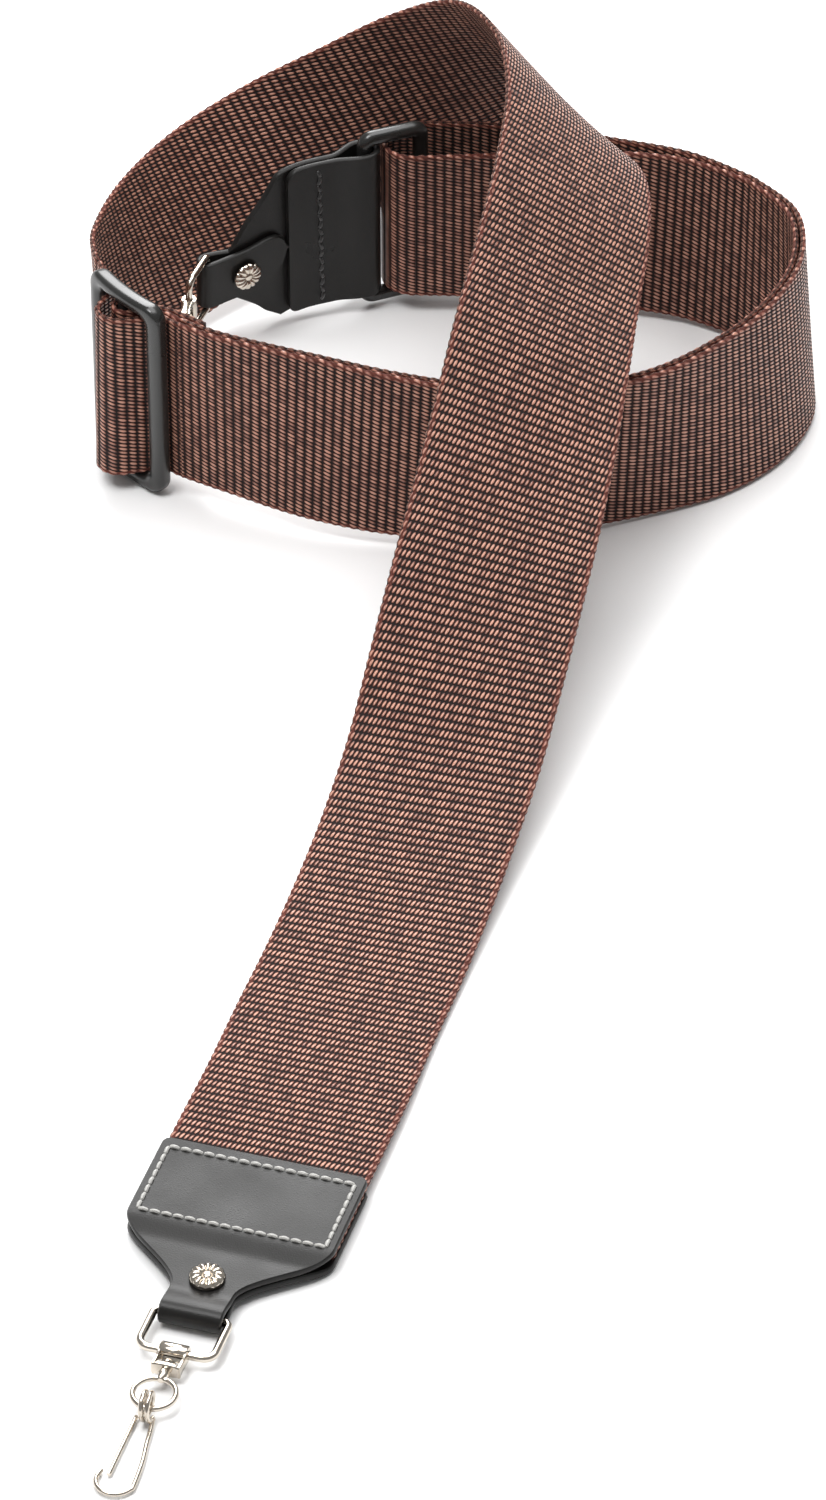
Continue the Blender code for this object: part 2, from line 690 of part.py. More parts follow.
def d_ring(key, parent):
    points = []
    for x, y, start in ((D_RING_REACH, D_RING_HALF, 0), (0, D_RING_HALF, 90),
                        (0, -D_RING_HALF, 180), (D_RING_REACH, -D_RING_HALF, 270)):
        corner = 2.8 * MM if x else 1.7 * MM
        centre = (x - math.copysign(corner, x - 1 * MM), y - math.copysign(corner, y))
        points += [(u, v, 0) for u, v in arc_points(centre, corner, start, start + 90, 4)]
    tube("d_ring_" + key, points, WIRE, nickel(), parent, cyclic=True)


def swivel_clamp(key, parent):
    """Stamped stirrup: a barrel on the D-ring's bar, two arms and a cross plate with the pin's hole."""
    barrel = WIRE + GAP + 0.9 * MM
    turn = Matrix.Rotation(math.radians(90), 4, "X")
    clamp = cylinder("swivel_clamp_" + key, barrel, 2 * CLAMP_HALF - 0.5 * MM, turn, nickel(), parent)
    plate_from, plate_to = PLATE_FROM - D_RING_REACH, PLATE_TO - D_RING_REACH
    for side in (-1, 1):
        low, high = sorted((side * CLAMP_HALF, side * (CLAMP_HALF - 1 * MM)))
        arm = block("arm", (0.13 * MM, low, -1.5 * MM), (plate_to, high, 1.5 * MM), nickel(), parent)
        boolean(clamp, arm, "UNION")
    plate = block("plate", (plate_from, -CLAMP_HALF + 0.2 * MM, -2 * MM),
                  (plate_to - 0.05 * MM, CLAMP_HALF - 0.2 * MM, 2 * MM), nickel(), parent)
    boolean(clamp, plate, "UNION")
    bore = cylinder("bore", WIRE + GAP, 20 * MM, turn, nickel(), parent)
    boolean(clamp, bore, "DIFFERENCE")
    side_turn = Matrix.Translation((plate_to, 0, 0)) @ Matrix.Rotation(math.radians(90), 4, "Y")
    hole = cylinder("pin_hole", 1.4 * MM, 4 * MM, side_turn, nickel(), parent, segments=16)
    boolean(clamp, hole, "DIFFERENCE")


def swivel_eye(key, parent):
    """Headed pin that turns in the clamp, with the eye ring on its end."""
    turn = Matrix.Rotation(math.radians(90), 4, "Y")
    head_from, head_to = PLATE_FROM - 1.7 * MM, PLATE_FROM - GAP
    eye = cylinder("swivel_eye_" + key, 2 * MM, head_to - head_from,
                   Matrix.Translation(((head_from + head_to) / 2, 0, 0)) @ turn, nickel(), parent,
                   segments=16)
    shank_to = EYE_CENTRE - EYE_RADIUS
    shank = cylinder("shank", 1.05 * MM, shank_to - head_from - 0.5 * MM,
                     Matrix.Translation(((head_from + shank_to) / 2 + 0.25 * MM, 0, 0)) @ turn,
                     nickel(), parent, segments=16)
    boolean(eye, shank, "UNION")
    points = [(u, v, 0) for u, v in arc_points((EYE_CENTRE, 0), EYE_RADIUS, 0, 360, 28)[:-1]]
    ring = as_mesh(tube("ring", points, EYE_WIRE, nickel(), parent, cyclic=True))
    boolean(eye, ring, "UNION")


def hook_points():
    """Two turns through the eye, then the bow of the hook, ending beside the gate's tip."""
    turns, per_turn = 2, 14
    pitch = 2 * HOOK_WIRE + GAP
    points = []
    for k in range(turns * per_turn + 1):
        angle = math.radians(-90) - 2 * math.pi * k / per_turn
        offset = (k / (turns * per_turn) - 0.5) * turns * pitch
        points.append(COIL_CENTRE + Vector((COIL_RADIUS * math.cos(angle), offset,
                                            COIL_RADIUS * math.sin(angle))))
    level = COIL_CENTRE.z - COIL_RADIUS
    for x, y in ((23, 2.2), (28, 2.9), (34, 3.9)):
        points.append(Vector((D_RING_REACH + x * MM, y * MM, level)))
    points += [Vector((u, v, level)) for u, v in
               arc_points((HOOK_BOW_CENTRE, 0), HOOK_BOW, 80, -100, 12)]
    points.append(Vector((D_RING_REACH + 38.5 * MM, -4.2 * MM, level)))
    return points


def hook(key, parent):
    tube("hook_" + key, [p - COIL_CENTRE for p in hook_points()], HOOK_WIRE, nickel(), parent)


def gate(key, parent):
    """Springing wire from the coil to the inside of the hook's tip; its origin is at its root."""
    tube("gate_" + key, [(0, 0, 0), (8 * MM, 0.1 * MM, 0), (19.5 * MM, 0.25 * MM, 0)],
         HOOK_WIRE * 0.9, nickel(), parent)


def hook_set(key, frame, turn, spin, pitch):
    """All that hangs on one leather end: the clamp's turn on the D-ring's bar, the eye's spin in
    the clamp and the hook's pitch on the eye, in degrees."""
    swing = axis_empty("axis_d_ring_" + key, frame)
    d_ring(key, swing)
    bar = axis_empty("axis_clamp_" + key, Matrix.Translation((D_RING_REACH, 0, 0))
                     @ Matrix.Rotation(math.radians(turn), 4, "Y"), swing)
    swivel_clamp(key, bar)
    pin = axis_empty("axis_swivel_" + key, Matrix.Translation((-D_RING_REACH, 0, 0))
                     @ Matrix.Rotation(math.radians(spin), 4, "X"), bar)
    swivel_eye(key, pin)
    link = axis_empty("axis_hook_" + key, Matrix.Translation(COIL_CENTRE)
                      @ Matrix.Rotation(math.radians(pitch), 4, "Y"), pin)
    hook(key, link)
    gate(key, axis_empty("axis_gate_" + key, Matrix.Translation(GATE_ROOT), link))


def main():
    start_scene()
    slider_frame()
    slider_webbing()
    ring_webbing()
    loop_turn()
    tail_and_arch()
    rear_loop()
    hook_set("front", front_leather(), 0, 0, 0)
    hook_set("rear", rear_leather(), -14, 90, 38)


main()
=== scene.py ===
import math

import bmesh
import bpy
import numpy as np
from mathutils import Matrix, Vector


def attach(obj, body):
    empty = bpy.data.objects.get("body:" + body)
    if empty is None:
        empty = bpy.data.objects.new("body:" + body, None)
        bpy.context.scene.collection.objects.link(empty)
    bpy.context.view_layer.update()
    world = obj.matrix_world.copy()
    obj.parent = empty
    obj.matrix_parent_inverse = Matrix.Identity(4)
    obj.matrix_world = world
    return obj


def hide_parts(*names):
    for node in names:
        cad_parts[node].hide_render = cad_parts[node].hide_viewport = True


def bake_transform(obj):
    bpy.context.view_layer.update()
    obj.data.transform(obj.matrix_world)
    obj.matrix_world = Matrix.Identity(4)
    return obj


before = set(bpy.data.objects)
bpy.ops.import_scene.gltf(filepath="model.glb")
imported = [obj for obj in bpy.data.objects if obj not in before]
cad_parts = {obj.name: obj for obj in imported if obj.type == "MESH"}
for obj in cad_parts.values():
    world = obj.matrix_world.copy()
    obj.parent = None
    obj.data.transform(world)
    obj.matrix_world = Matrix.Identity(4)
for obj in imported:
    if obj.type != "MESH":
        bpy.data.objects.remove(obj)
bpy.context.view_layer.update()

MM = 0.001

# ---------------------------------------------------------------- dimensions shared with the CAD
WEB_WIDTH = 50.8 * MM
WEB_THICK = 1.7 * MM
GAP = 0.3 * MM
LAYER = WEB_THICK + GAP
LEATHER_THICK = 1.8 * MM
LEATHER_HALF = 25.6 * MM
NECK_HALF = 7.8 * MM
WIRE = 1.0 * MM

ARC_CENTRE = Vector((-35.5, 186.2, 0)) * MM
ARC_RADIUS = 69.5 * MM
ARC_HEIGHT = 30.4 * MM
SLIDER_ANGLE = 219.0
ARC_START = 196.0
ARC_END = 246.0
BAR_PITCH = 12.5 * MM
BAR_HALF = 2.5 * MM
CORE = 1.8 * MM
SLIDER_HALF = 30.1 * MM
SLIDER_WINDOW = 26.2 * MM
UNDER_BAR = BAR_HALF + GAP + WEB_THICK / 2 + 0.25 * MM
OVER_CORE = CORE + GAP + WEB_THICK / 2
BULGE_RADIUS = 5.2 * MM
BULGE_CENTRE = 3.2 * MM

LOOP_LEATHER_BAR = Vector((-25.5, 223.2, 30.8)) * MM
LOOP_HEADING = 20.0
LOOP_LEAN = Vector((0, 0.12, -1)).normalized()
LOOP_PITCH = 16.5 * MM
LOOP_BAR = 2.2 * MM
LOOP_HALF = 28.4 * MM
TURN_CENTRE = Vector((-11.3, 228.2, 30.8)) * MM
TURN_RADIUS = 9 * MM

FRONT_SEAM = 7.8 * MM
PANEL = 30 * MM
NECK_START = 47.5 * MM
FRONT_LENGTH = 54.2 * MM
WEB_IN_LEATHER = 26 * MM
FRONT_RIVET = 43.5 * MM
REAR_LENGTH = 49 * MM
REAR_PANEL = 26 * MM
REAR_NECK = 42 * MM
REAR_RIVET = 38.5 * MM
REAR_RING_SWING = -36.0

D_RING_HALF = 9.1 * MM
D_RING_REACH = 13 * MM
CLAMP_HALF = 3.6 * MM
PLATE_FROM = D_RING_REACH + 5.2 * MM
PLATE_TO = D_RING_REACH + 6.4 * MM
EYE_CENTRE = D_RING_REACH + 14.1 * MM
EYE_RADIUS = 5.0 * MM
EYE_WIRE = 0.7 * MM
HOOK_WIRE = 0.6 * MM
COIL_RADIUS = 3.2 * MM
COIL_CENTRE = Vector((D_RING_REACH + 19.2 * MM, 0, 0.7 * MM))
GATE_ROOT = Vector((0.8, -2.3, -3.2)) * MM
HOOK_BOW = 4.5 * MM
HOOK_BOW_CENTRE = D_RING_REACH + 40.7 * MM

# Routes: x, y, z in mm, then the direction across the webbing
TAIL_ROUTE = [
    (-44.5, -138.8, 2.95, 0.96, -0.29, 0.00),
    (-37.5, -115.8, 2.4, 0.96, -0.28, 0.00),
    (-31, -92.3, 1.6, 0.96, -0.28, 0.00),
    (-24, -69.3, 1.8, 0.96, -0.28, 0.00),
    (-17, -45.8, 3.8, 0.96, -0.28, 0.01),
    (-10.5, -23.3, 7.5, 0.96, -0.28, 0.01),
    (-4, -0.8, 14.5, 0.97, -0.25, -0.03),
    (1.5, 20.2, 24.5, 0.97, -0.20, -0.11),
    (7, 41.2, 35.5, 0.97, -0.14, -0.20),
    (12.5, 62.2, 46.5, 0.95, -0.09, -0.28),
    (17.5, 83.2, 57, 0.93, -0.05, -0.36),
    (22, 104.7, 67.5, 0.90, 0.00, -0.44),
    (26.5, 128.7, 75, 0.86, 0.05, -0.52),
]
ARCH_ROUTE = [
    (31, 154.7, 82.5, 0.82, 0.08, -0.56),
    (32, 182.7, 85, 0.75, 0.12, -0.65),
    (25.5, 209.7, 82, 0.60, 0.14, -0.79),
    (12.5, 238.7, 75.5, 0.50, 0.26, -0.82),
    (-6, 250.2, 60, 0.49, 0.06, -0.87),
    (-27, 250.2, 46, 0.49, -0.12, -0.86),
    (-48.5, 245.2, 35, 0.48, -0.28, -0.83),
    (-68, 232.2, 29, 0.45, -0.21, -0.87),
    (-84.5, 209.7, 27.5, 0.34, -0.06, -0.94),
    (-96, 184.7, 28, 0.14, 0.00, -0.99),
]
RING_ROUTE = [
    (-40, 118.2, 29.4, -0.03, -0.06, -1.00),
    (-17, 111.6, 28.2, -0.04, -0.03, -1.00),
    (6.5, 109.7, 27, -0.03, 0.06, -1.00),
    (30, 112.7, 26.2, -0.03, 0.12, -0.99),
    (52, 120.7, 25.8, -0.02, 0.11, -0.99),
    (72, 133.7, 25.7, 0.04, 0.00, -1.00),
    (87, 151.2, 25.7, 0.09, -0.05, -0.99),
    (95.5, 172.7, 25.7, 0.10, -0.05, -0.99),
    (94, 195.2, 25.7, 0.05, -0.04, -1.00),
    (81.5, 211.2, 25.7, -0.01, -0.08, -1.00),
]
REAR_INNER = [
    (64, 219.9, 26.3, -0.03, -0.08, -0.99),
    (44, 222.7, 27.4, -0.02, -0.05, -0.99),
    (22, 221.4, 29.2, 0.00, 0.03, -1.00),
    (4, 219.9, 30.5, 0.00, 0.09, -1.00),
]
REAR_OUTER = [
    (65, 223.6, 26.3, -0.03, -0.07, -0.99),
    (46, 229.6, 27.4, -0.02, -0.03, -0.99),
    (25, 234, 29.2, 0.00, 0.03, -1.00),
    (5, 236.5, 30.5, 0.00, 0.09, -1.00),
]

# ---------------------------------------------------------------- looks
DASH = 1.175 * MM          # spacing of the webbing's raised warp threads, across
PICK = 2.607 * MM          # spacing of its cross ribs, along
FINE = PICK / 4            # mesh step along the webbing
DASH_LEAN = 0.62           # sideways shift of a raised thread over one rib, in thread spacings
ROUND = 44                 # thread spacings from one face's middle to the other's
THREAD_HALF_WIDTH = 0.43   # of a raised thread, in thread spacings
THREAD_HALF_LENGTH = 0.49  # of a raised thread, in rib spacings
SELVEDGE_FROM = 24.0 * MM  # from the webbing's middle to its redder selvedge
SCALLOP_FROM = 23.3 * MM   # from the webbing's middle to where its edges scallop
SCALLOP_FADE = 1.6 * MM    # width over which the scallops reach their depth
SCALLOP = 0.28 * MM        # their depth
RIB_DIP = 0.13             # share of its thickness the webbing loses between ribs


def new_material(name):
    mat = bpy.data.materials.new(name)
    mat.use_nodes = True
    tree = mat.node_tree
    return mat, tree, tree.nodes["Principled BSDF"]


def node(tree, kind, **settings):
    item = tree.nodes.new(kind)
    for key, value in settings.items():
        setattr(item, key, value)
    return item


def math_node(tree, operation, a, b=None, c=None, clamp=False):
    item = node(tree, "ShaderNodeMath", operation=operation, use_clamp=clamp)
    for socket, value in zip(item.inputs, (a, b, c)):
        if value is None:
            continue
        if isinstance(value, (int, float)):
            socket.default_value = value
        else:
            tree.links.new(value, socket)
    return item.outputs[0]


def ramp(tree, factor, *stops):
    item = node(tree, "ShaderNodeValToRGB")
    elements = item.color_ramp.elements
    while len(elements) < len(stops):
        elements.new(0.5)
    for element, (place, colour) in zip(elements, stops):
        element.position = place
        element.color = (*colour, 1.0)
    tree.links.new(factor, item.inputs[0])
    return item.outputs[0]


def mix_colour(tree, factor, a, b):
    item = node(tree, "ShaderNodeMix", data_type="RGBA")
    for socket, value in ((item.inputs[0], factor), (item.inputs[6], a), (item.inputs[7], b)):
        if isinstance(value, (int, float)):
            socket.default_value = value
        elif isinstance(value, tuple):
            socket.default_value = (*value, 1.0)
        else:
            tree.links.new(value, socket)
    return item.outputs[2]


def noise(tree, scale, detail):
    item = node(tree, "ShaderNodeTexNoise")
    item.inputs["Scale"].default_value = scale
    item.inputs["Detail"].default_value = detail
    tree.links.new(node(tree, "ShaderNodeTexCoord").outputs["Object"], item.inputs["Vector"])
    return item.outputs["Fac"]


def bump(tree, shader, height, distance, strength):
    item = node(tree, "ShaderNodeBump")
    item.inputs["Strength"].default_value = strength
    item.inputs["Distance"].default_value = distance
    tree.links.new(height, item.inputs["Height"])
    tree.links.new(item.outputs[0], shader.inputs["Normal"])


def roughness(tree, shader, factor, *stops):
    rough = ramp(tree, factor, *((place, (value,) * 3) for place, value in stops))
    tree.links.new(rough, shader.inputs["Roughness"])


def webbing_material():
    """Coarse plain weave: rows of raised warp threads, each row moved half a thread sideways, with
    painted shade between the threads and a painted highlight on their tops.
    """
    mat, tree, shader = new_material("woven_webbing")

    def calc(operation, *values, clamp=False):
        return math_node(tree, operation, *values, clamp=clamp)

    weave = node(tree, "ShaderNodeUVMap", uv_map="weave").outputs[0]
    split = node(tree, "ShaderNodeSeparateXYZ")
    tree.links.new(weave, split.inputs[0])
    across, along = split.outputs[0], split.outputs[1]
    row = calc("FLOOR", along)
    y = calc("SUBTRACT", calc("FRACT", along), 0.5)
    odd = calc("MULTIPLY", calc("FLOORED_MODULO", row, 2.0), 0.5)
    place = calc("ADD", calc("ADD", across, odd), calc("MULTIPLY", y, -DASH_LEAN))
    x = calc("SUBTRACT", calc("FRACT", place), 0.5)
    reach_x = calc("POWER", calc("DIVIDE", calc("ABSOLUTE", x), THREAD_HALF_WIDTH), 2.0)
    reach_y = calc("POWER", calc("DIVIDE", calc("ABSOLUTE", y), THREAD_HALF_LENGTH), 2.3)
    height = calc("SQRT", calc("SUBTRACT", 1.0, calc("ADD", reach_x, reach_y), clamp=True))

    cell = node(tree, "ShaderNodeCombineXYZ")
    tree.links.new(calc("FLOOR", place), cell.inputs[0])
    tree.links.new(row, cell.inputs[1])
    each = node(tree, "ShaderNodeTexWhiteNoise", noise_dimensions="2D")
    tree.links.new(cell.outputs[0], each.inputs["Vector"])
    # Colour follows each thread's height. The near-black in the gaps between threads is painted shade,
    # the pale tan on the thread tops is a painted highlight, and the mid brown between them is the
    # webbing's own colour. The white noise varies each thread's tone at random.
    painted_light_and_tone = calc("MULTIPLY", height, calc("MULTIPLY_ADD", each.outputs["Value"], 0.3, 0.85),
                clamp=True)
    colour = ramp(tree, painted_light_and_tone, (0.0, (0.003, 0.001, 0.0008)), (0.35, (0.012, 0.0035, 0.003)),
                  (0.7, (0.13, 0.034, 0.020)), (0.95, (0.58, 0.29, 0.205)))
    fibres = calc("MULTIPLY", noise(tree, 900.0, 2.0), 0.3)
    colour = mix_colour(tree, fibres, colour, (0.03, 0.010, 0.007))

    from_middle = calc("ABSOLUTE", calc("SUBTRACT", calc("FLOORED_MODULO", calc(
        "ADD", across, ROUND / 2), ROUND), ROUND / 2))
    selvedge = calc("MULTIPLY", calc("GREATER_THAN", from_middle, SELVEDGE_FROM / DASH),
                    noise(tree, 160.0, 3.0))
    colour = mix_colour(tree, calc("MULTIPLY", selvedge, 0.7), colour, (0.22, 0.055, 0.036))
    tree.links.new(colour, shader.inputs["Base Color"])
    roughness(tree, shader, height, (0.4, 0.95), (0.85, 0.30))
    shader.inputs["Specular IOR Level"].default_value = 0.42
    bump(tree, shader, height, 0.45 * MM, 0.9)
    return mat


def leather_material():
    """Smooth black leather with fine pores."""
    mat, tree, shader = new_material("black_leather")
    coords = node(tree, "ShaderNodeTexCoord").outputs["Object"]
    pores = node(tree, "ShaderNodeTexVoronoi", feature="DISTANCE_TO_EDGE")
    pores.inputs["Scale"].default_value = 1500.0
    tree.links.new(coords, pores.inputs["Vector"])
    cells = math_node(tree, "MULTIPLY", pores.outputs["Distance"], 2.2, clamp=True)
    fine = math_node(tree, "MULTIPLY", noise(tree, 2600.0, 4.0), 0.5)
    broad = noise(tree, 60.0, 4.0)
    colour = mix_colour(tree, broad, (0.0105, 0.010, 0.0095), (0.01575, 0.015, 0.01425))
    tree.links.new(colour, shader.inputs["Base Color"])
    roughness(tree, shader, broad, (0.3, 0.27), (0.7, 0.43))
    shader.inputs["Specular IOR Level"].default_value = 0.22
    bump(tree, shader, math_node(tree, "MULTIPLY_ADD", cells, 0.5, fine), 0.05 * MM, 0.7)
    return mat


def raw_edge_material():
    """The cut edge of the leather: paler, fibrous and dull."""
    mat, tree, shader = new_material("leather_cut_edge")
    fine = noise(tree, 2200.0, 5.0)
    colour = ramp(tree, fine, (0.3, (0.08, 0.077, 0.072)), (0.7, (0.42, 0.41, 0.39)))
    tree.links.new(colour, shader.inputs["Base Color"])
    shader.inputs["Roughness"].default_value = 0.85
    bump(tree, shader, fine, 0.12 * MM, 0.8)
    return mat


def thread_material(name, colour):
    """Twisted sewing thread."""
    mat, tree, shader = new_material(name)
    twist = noise(tree, 3500.0, 2.0)
    dark = tuple(c * 0.35 for c in colour)
    tree.links.new(mix_colour(tree, twist, dark, colour), shader.inputs["Base Color"])
    shader.inputs["Roughness"].default_value = 0.4
    shader.inputs["Sheen Weight"].default_value = 0.2
    bump(tree, shader, twist, 0.08 * MM, 0.8)
    return mat


def moulding_material():
    """Black injection-moulded plastic, a little uneven in its gloss."""
    mat, tree, shader = new_material("moulded_plastic")
    broad = noise(tree, 35.0, 5.0)
    fine = noise(tree, 3000.0, 3.0)
    tree.links.new(mix_colour(tree, broad, (0.010, 0.010, 0.0095), (0.022, 0.022, 0.021)),
                   shader.inputs["Base Color"])
    roughness(tree, shader, broad, (0.35, 0.24), (0.7, 0.38))
    shader.inputs["Specular IOR Level"].default_value = 0.6
    bump(tree, shader, fine, 0.03 * MM, 0.5)
    return mat


def nickel_material():
    """Warm, slightly worn nickel plate."""
    mat, tree, shader = new_material("nickel_plate")
    broad = noise(tree, 180.0, 4.0)
    fine = noise(tree, 1800.0, 3.0)
    tree.links.new(mix_colour(tree, broad, (0.50, 0.44, 0.37), (0.76, 0.70, 0.62)),
                   shader.inputs["Base Color"])
    roughness(tree, shader, fine, (0.3, 0.10), (0.75, 0.24))
    shader.inputs["Metallic"].default_value = 1.0
    bump(tree, shader, broad, 0.05 * MM, 0.3)
    return mat


MATERIALS = {
    "webbing": webbing_material(),
    "leather": leather_material(),
    "edge": raw_edge_material(),
    "thread": thread_material("sewing_thread", (0.62, 0.61, 0.58)),
    "black_thread": thread_material("black_thread", (0.03, 0.03, 0.03)),
    "moulding": moulding_material(),
    "nickel": nickel_material(),
}

# ---------------------------------------------------------------- pieces


def add_piece(name, mesh, slot, body, replaced=(), material=None, smooth_angle=40):
    mesh.materials.clear()
    for key in (material or (slot,)):
        mesh.materials.append(MATERIALS[key])
    mesh.shade_smooth()
    mesh.set_sharp_from_angle(angle=math.radians(smooth_angle))
    piece = bpy.data.objects.new(name, mesh)
    bpy.context.scene.collection.objects.link(piece)
    if body:
        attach(piece, body)
    if replaced:
        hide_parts(*replaced)
    return piece


def grid_mesh(name, grid, closed_u=False, closed_v=False, caps=False, uv=None, edge_columns=None):
    """A mesh from rows of points. Each row runs round or across, and the rows follow one another."""
    grid = np.asarray(grid, dtype=float)
    rows, columns = grid.shape[:2]
    index = np.arange(rows * columns).reshape(rows, columns)
    next_row = np.roll(index, -1, axis=0)
    next_column = np.roll(index, -1, axis=1)
    corner = np.roll(next_row, -1, axis=1)
    stack = np.stack([index, next_column, corner, next_row], axis=-1)
    if not closed_v:
        stack = stack[:-1]
    if not closed_u:
        stack = stack[:, :-1]
    faces = stack.reshape(-1, 4).tolist()
    slots = []
    if edge_columns is not None:
        per_row = stack.shape[1]
        slots = [1 if (k % per_row) in edge_columns else 0 for k in range(len(faces))]
    if caps:
        faces.append(index[0][::-1].tolist())
        faces.append(index[-1].tolist())
        slots += [1, 1] if slots else []
    mesh = bpy.data.meshes.new(name)
    mesh.from_pydata(grid.reshape(-1, 3).tolist(), [], faces)
    if slots:
        mesh.polygons.foreach_set("material_index", slots)
    if uv is not None:
        layer = mesh.uv_layers.new(name="weave")
        loops = np.zeros(len(mesh.loops), dtype=np.int32)
        mesh.loops.foreach_get("vertex_index", loops)
        layer.uv.foreach_set("vector", np.asarray(uv, dtype=np.float32).reshape(-1, 2)[loops].ravel())
    bm = bmesh.new()
    bm.from_mesh(mesh)
    if (closed_u and (caps or closed_v)) and bm.calc_volume(signed=True) < 0:
        bmesh.ops.reverse_faces(bm, faces=bm.faces)
    bm.to_mesh(mesh)
    bm.free()
    return mesh


def wire_mesh(name, points, radius, sides=16, cyclic=False):
    """A round wire along a list of points, its rings carried along without twisting."""
    points = [Vector(p) for p in points]
    count = len(points)
    headings = []
    for k in range(count):
        before = points[k - 1] if (cyclic or k) else points[0]
        after = points[(k + 1) % count] if (cyclic or k < count - 1) else points[-1]
        headings.append((after - before).normalized())
    side = headings[0].orthogonal().normalized()
    starts = [side]
    for one, two in zip(headings, headings[1:]):
        side = one.rotation_difference(two) @ side
        starts.append((side - two * side.dot(two)).normalized())
    turn = 0.0
    if cyclic:
        back = headings[-1].rotation_difference(headings[0]) @ starts[-1]
        turn = math.atan2(back.cross(starts[0]).dot(headings[0]), back.dot(starts[0]))
    grid = []
    for k, (point, heading, side) in enumerate(zip(points, headings, starts)):
        side = Matrix.Rotation(turn * k / count, 3, heading) @ side
        other = heading.cross(side)
        grid.append([point + (side * math.cos(a) + other * math.sin(a)) * radius
                     for a in (2 * math.pi * j / sides for j in range(sides))])
    return grid_mesh(name, grid, closed_u=True, closed_v=cyclic, caps=not cyclic)


def smooth_points(points, step):
    """A smooth curve through points, read about every step."""
    points = [Vector(p) for p in points]
    ends = [points[0], *points, points[-1]]
    out = []
    for k in range(len(points) - 1):
        four = ends[k:k + 4]
        count = max(1, round((four[2] - four[1]).length / step))
        out += [catmull(*four, j / count) for j in range(count)]
    return out + [points[-1]]


def joined(name, meshes):
    """One mesh from several."""
    bm = bmesh.new()
    for mesh in meshes:
        bm.from_mesh(mesh)
        bpy.data.meshes.remove(mesh)
    out = bpy.data.meshes.new(name)
    bm.to_mesh(out)
    bm.free()
    return out


def moved(mesh, matrix):
    mesh.transform(matrix)
    return mesh


# ---------------------------------------------------------------- routes, as in the CAD


class Station:
    def __init__(self, centre, across, half=WEB_WIDTH / 2):
        self.centre = Vector(centre)
        self.across = Vector(across).normalized()
        self.half = half
        self.normal = None


def read_route(rows):
    return [Station(Vector(row[:3]) * MM, row[3:]) for row in rows]


def catmull(a, b, c, d, t):
    return 0.5 * (2 * b + (c - a) * t + (2 * a - 5 * b + 4 * c - d) * t * t
                  + (3 * b - a - 3 * c + d) * t * t * t)


def smooth_route(stations):
    """Stations about every millimetre on a smooth curve through the given ones."""
    ends = [stations[0], *stations, stations[-1]]
    fine = []
    for i in range(len(stations) - 1):
        four = ends[i:i + 4]
        count = max(1, round((four[2].centre - four[1].centre).length / MM))
        for k in range(count):
            t = k / count
            fine.append(Station(catmull(*[s.centre for s in four], t),
                                catmull(*[s.across for s in four], t)))
    fine.append(stations[-1])
    return fine


def tangents(stations):
    last = len(stations) - 1
    return [(stations[min(i + 1, last)].centre - stations[max(i - 1, 0)].centre).normalized()
            for i in range(last + 1)]


def normals(stations):
    return [s.across.cross(t).normalized() for s, t in zip(stations, tangents(stations))]


def shifted(stations, offset):
    return [Station(s.centre + n * offset, s.across, s.half)
            for s, n in zip(stations, normals(stations))]


def arc_points(centre, radius, start, end, count):
    angles = [math.radians(start + (end - start) * k / count) for k in range(count + 1)]
    return [(centre[0] + radius * math.cos(a), centre[1] + radius * math.sin(a)) for a in angles]


def polar(along, out, height=0.0):
    angle = math.radians(SLIDER_ANGLE) + along / ARC_RADIUS
    reach = ARC_RADIUS + out
    return ARC_CENTRE + Vector((reach * math.cos(angle), reach * math.sin(angle),
                                ARC_HEIGHT + height))


def arc_run(start, end, out):
    count = max(2, round(math.radians(abs(end - start)) * ARC_RADIUS / (5 * MM)))
    return [Station(polar(math.radians(start + (end - start) * k / count - SLIDER_ANGLE) * ARC_RADIUS,
                          out), (0, 0, -1)) for k in range(count + 1)]


def crossing(radius, height, under):
    """Half a pass over the centre bar: off a round of this radius and under the outer bar."""
    lean = math.degrees(math.atan2(height, BAR_PITCH)
                        + math.asin((under + radius) / math.hypot(BAR_PITCH, height)))
    return (arc_points((0, height), radius, 90, 90 - lean, 18)
            + arc_points((BAR_PITCH, 0), under, 270 - lean, 270, 15))


def level_after_slider(layer=0.0):
    return -(UNDER_BAR + layer)


def frame_matrix(origin, x_axis, y_axis):
    y_dir = Vector(y_axis).normalized()
    z_dir = Vector(x_axis).cross(y_dir).normalized()
    x_dir = y_dir.cross(z_dir)
    return Matrix.Translation(origin) @ Matrix((x_dir, y_dir, z_dir)).transposed().to_4x4()


def ease(value, low, high):
    t = min(1.0, max(0.0, (value - low) / (high - low)))
    return t * t * (3 - 2 * t)


# ---------------------------------------------------------------- webbing

REACH = BAR_PITCH + 5 * MM


def station_arrays(stations):
    """Evenly spaced copies of a run as arrays: length, centre, across and normal."""
    centre = np.array([s.centre for s in stations])
    across = np.array([s.across for s in stations])
    steps = np.linalg.norm(np.diff(centre, axis=0), axis=1)
    keep = np.concatenate([[True], steps > 1e-7])
    centre, across = centre[keep], across[keep]
    length = np.concatenate([[0], np.cumsum(np.linalg.norm(np.diff(centre, axis=0), axis=1))])
    count = max(2, round(length[-1] / FINE))
    even = np.linspace(0, length[-1], count + 1)
    centre = np.stack([np.interp(even, length, centre[:, k]) for k in range(3)], axis=1)
    across = np.stack([np.interp(even, length, across[:, k]) for k in range(3)], axis=1)
    across /= np.linalg.norm(across, axis=1)[:, None]
    if stations[0].normal:
        given = np.array([s.normal for s in stations])[keep]
        normal = np.stack([np.interp(even, length, given[:, k]) for k in range(3)], axis=1)
    else:
        normal = np.cross(across, np.gradient(centre, axis=0))
    normal /= np.linalg.norm(normal, axis=1)[:, None]
    return even, centre, across, normal


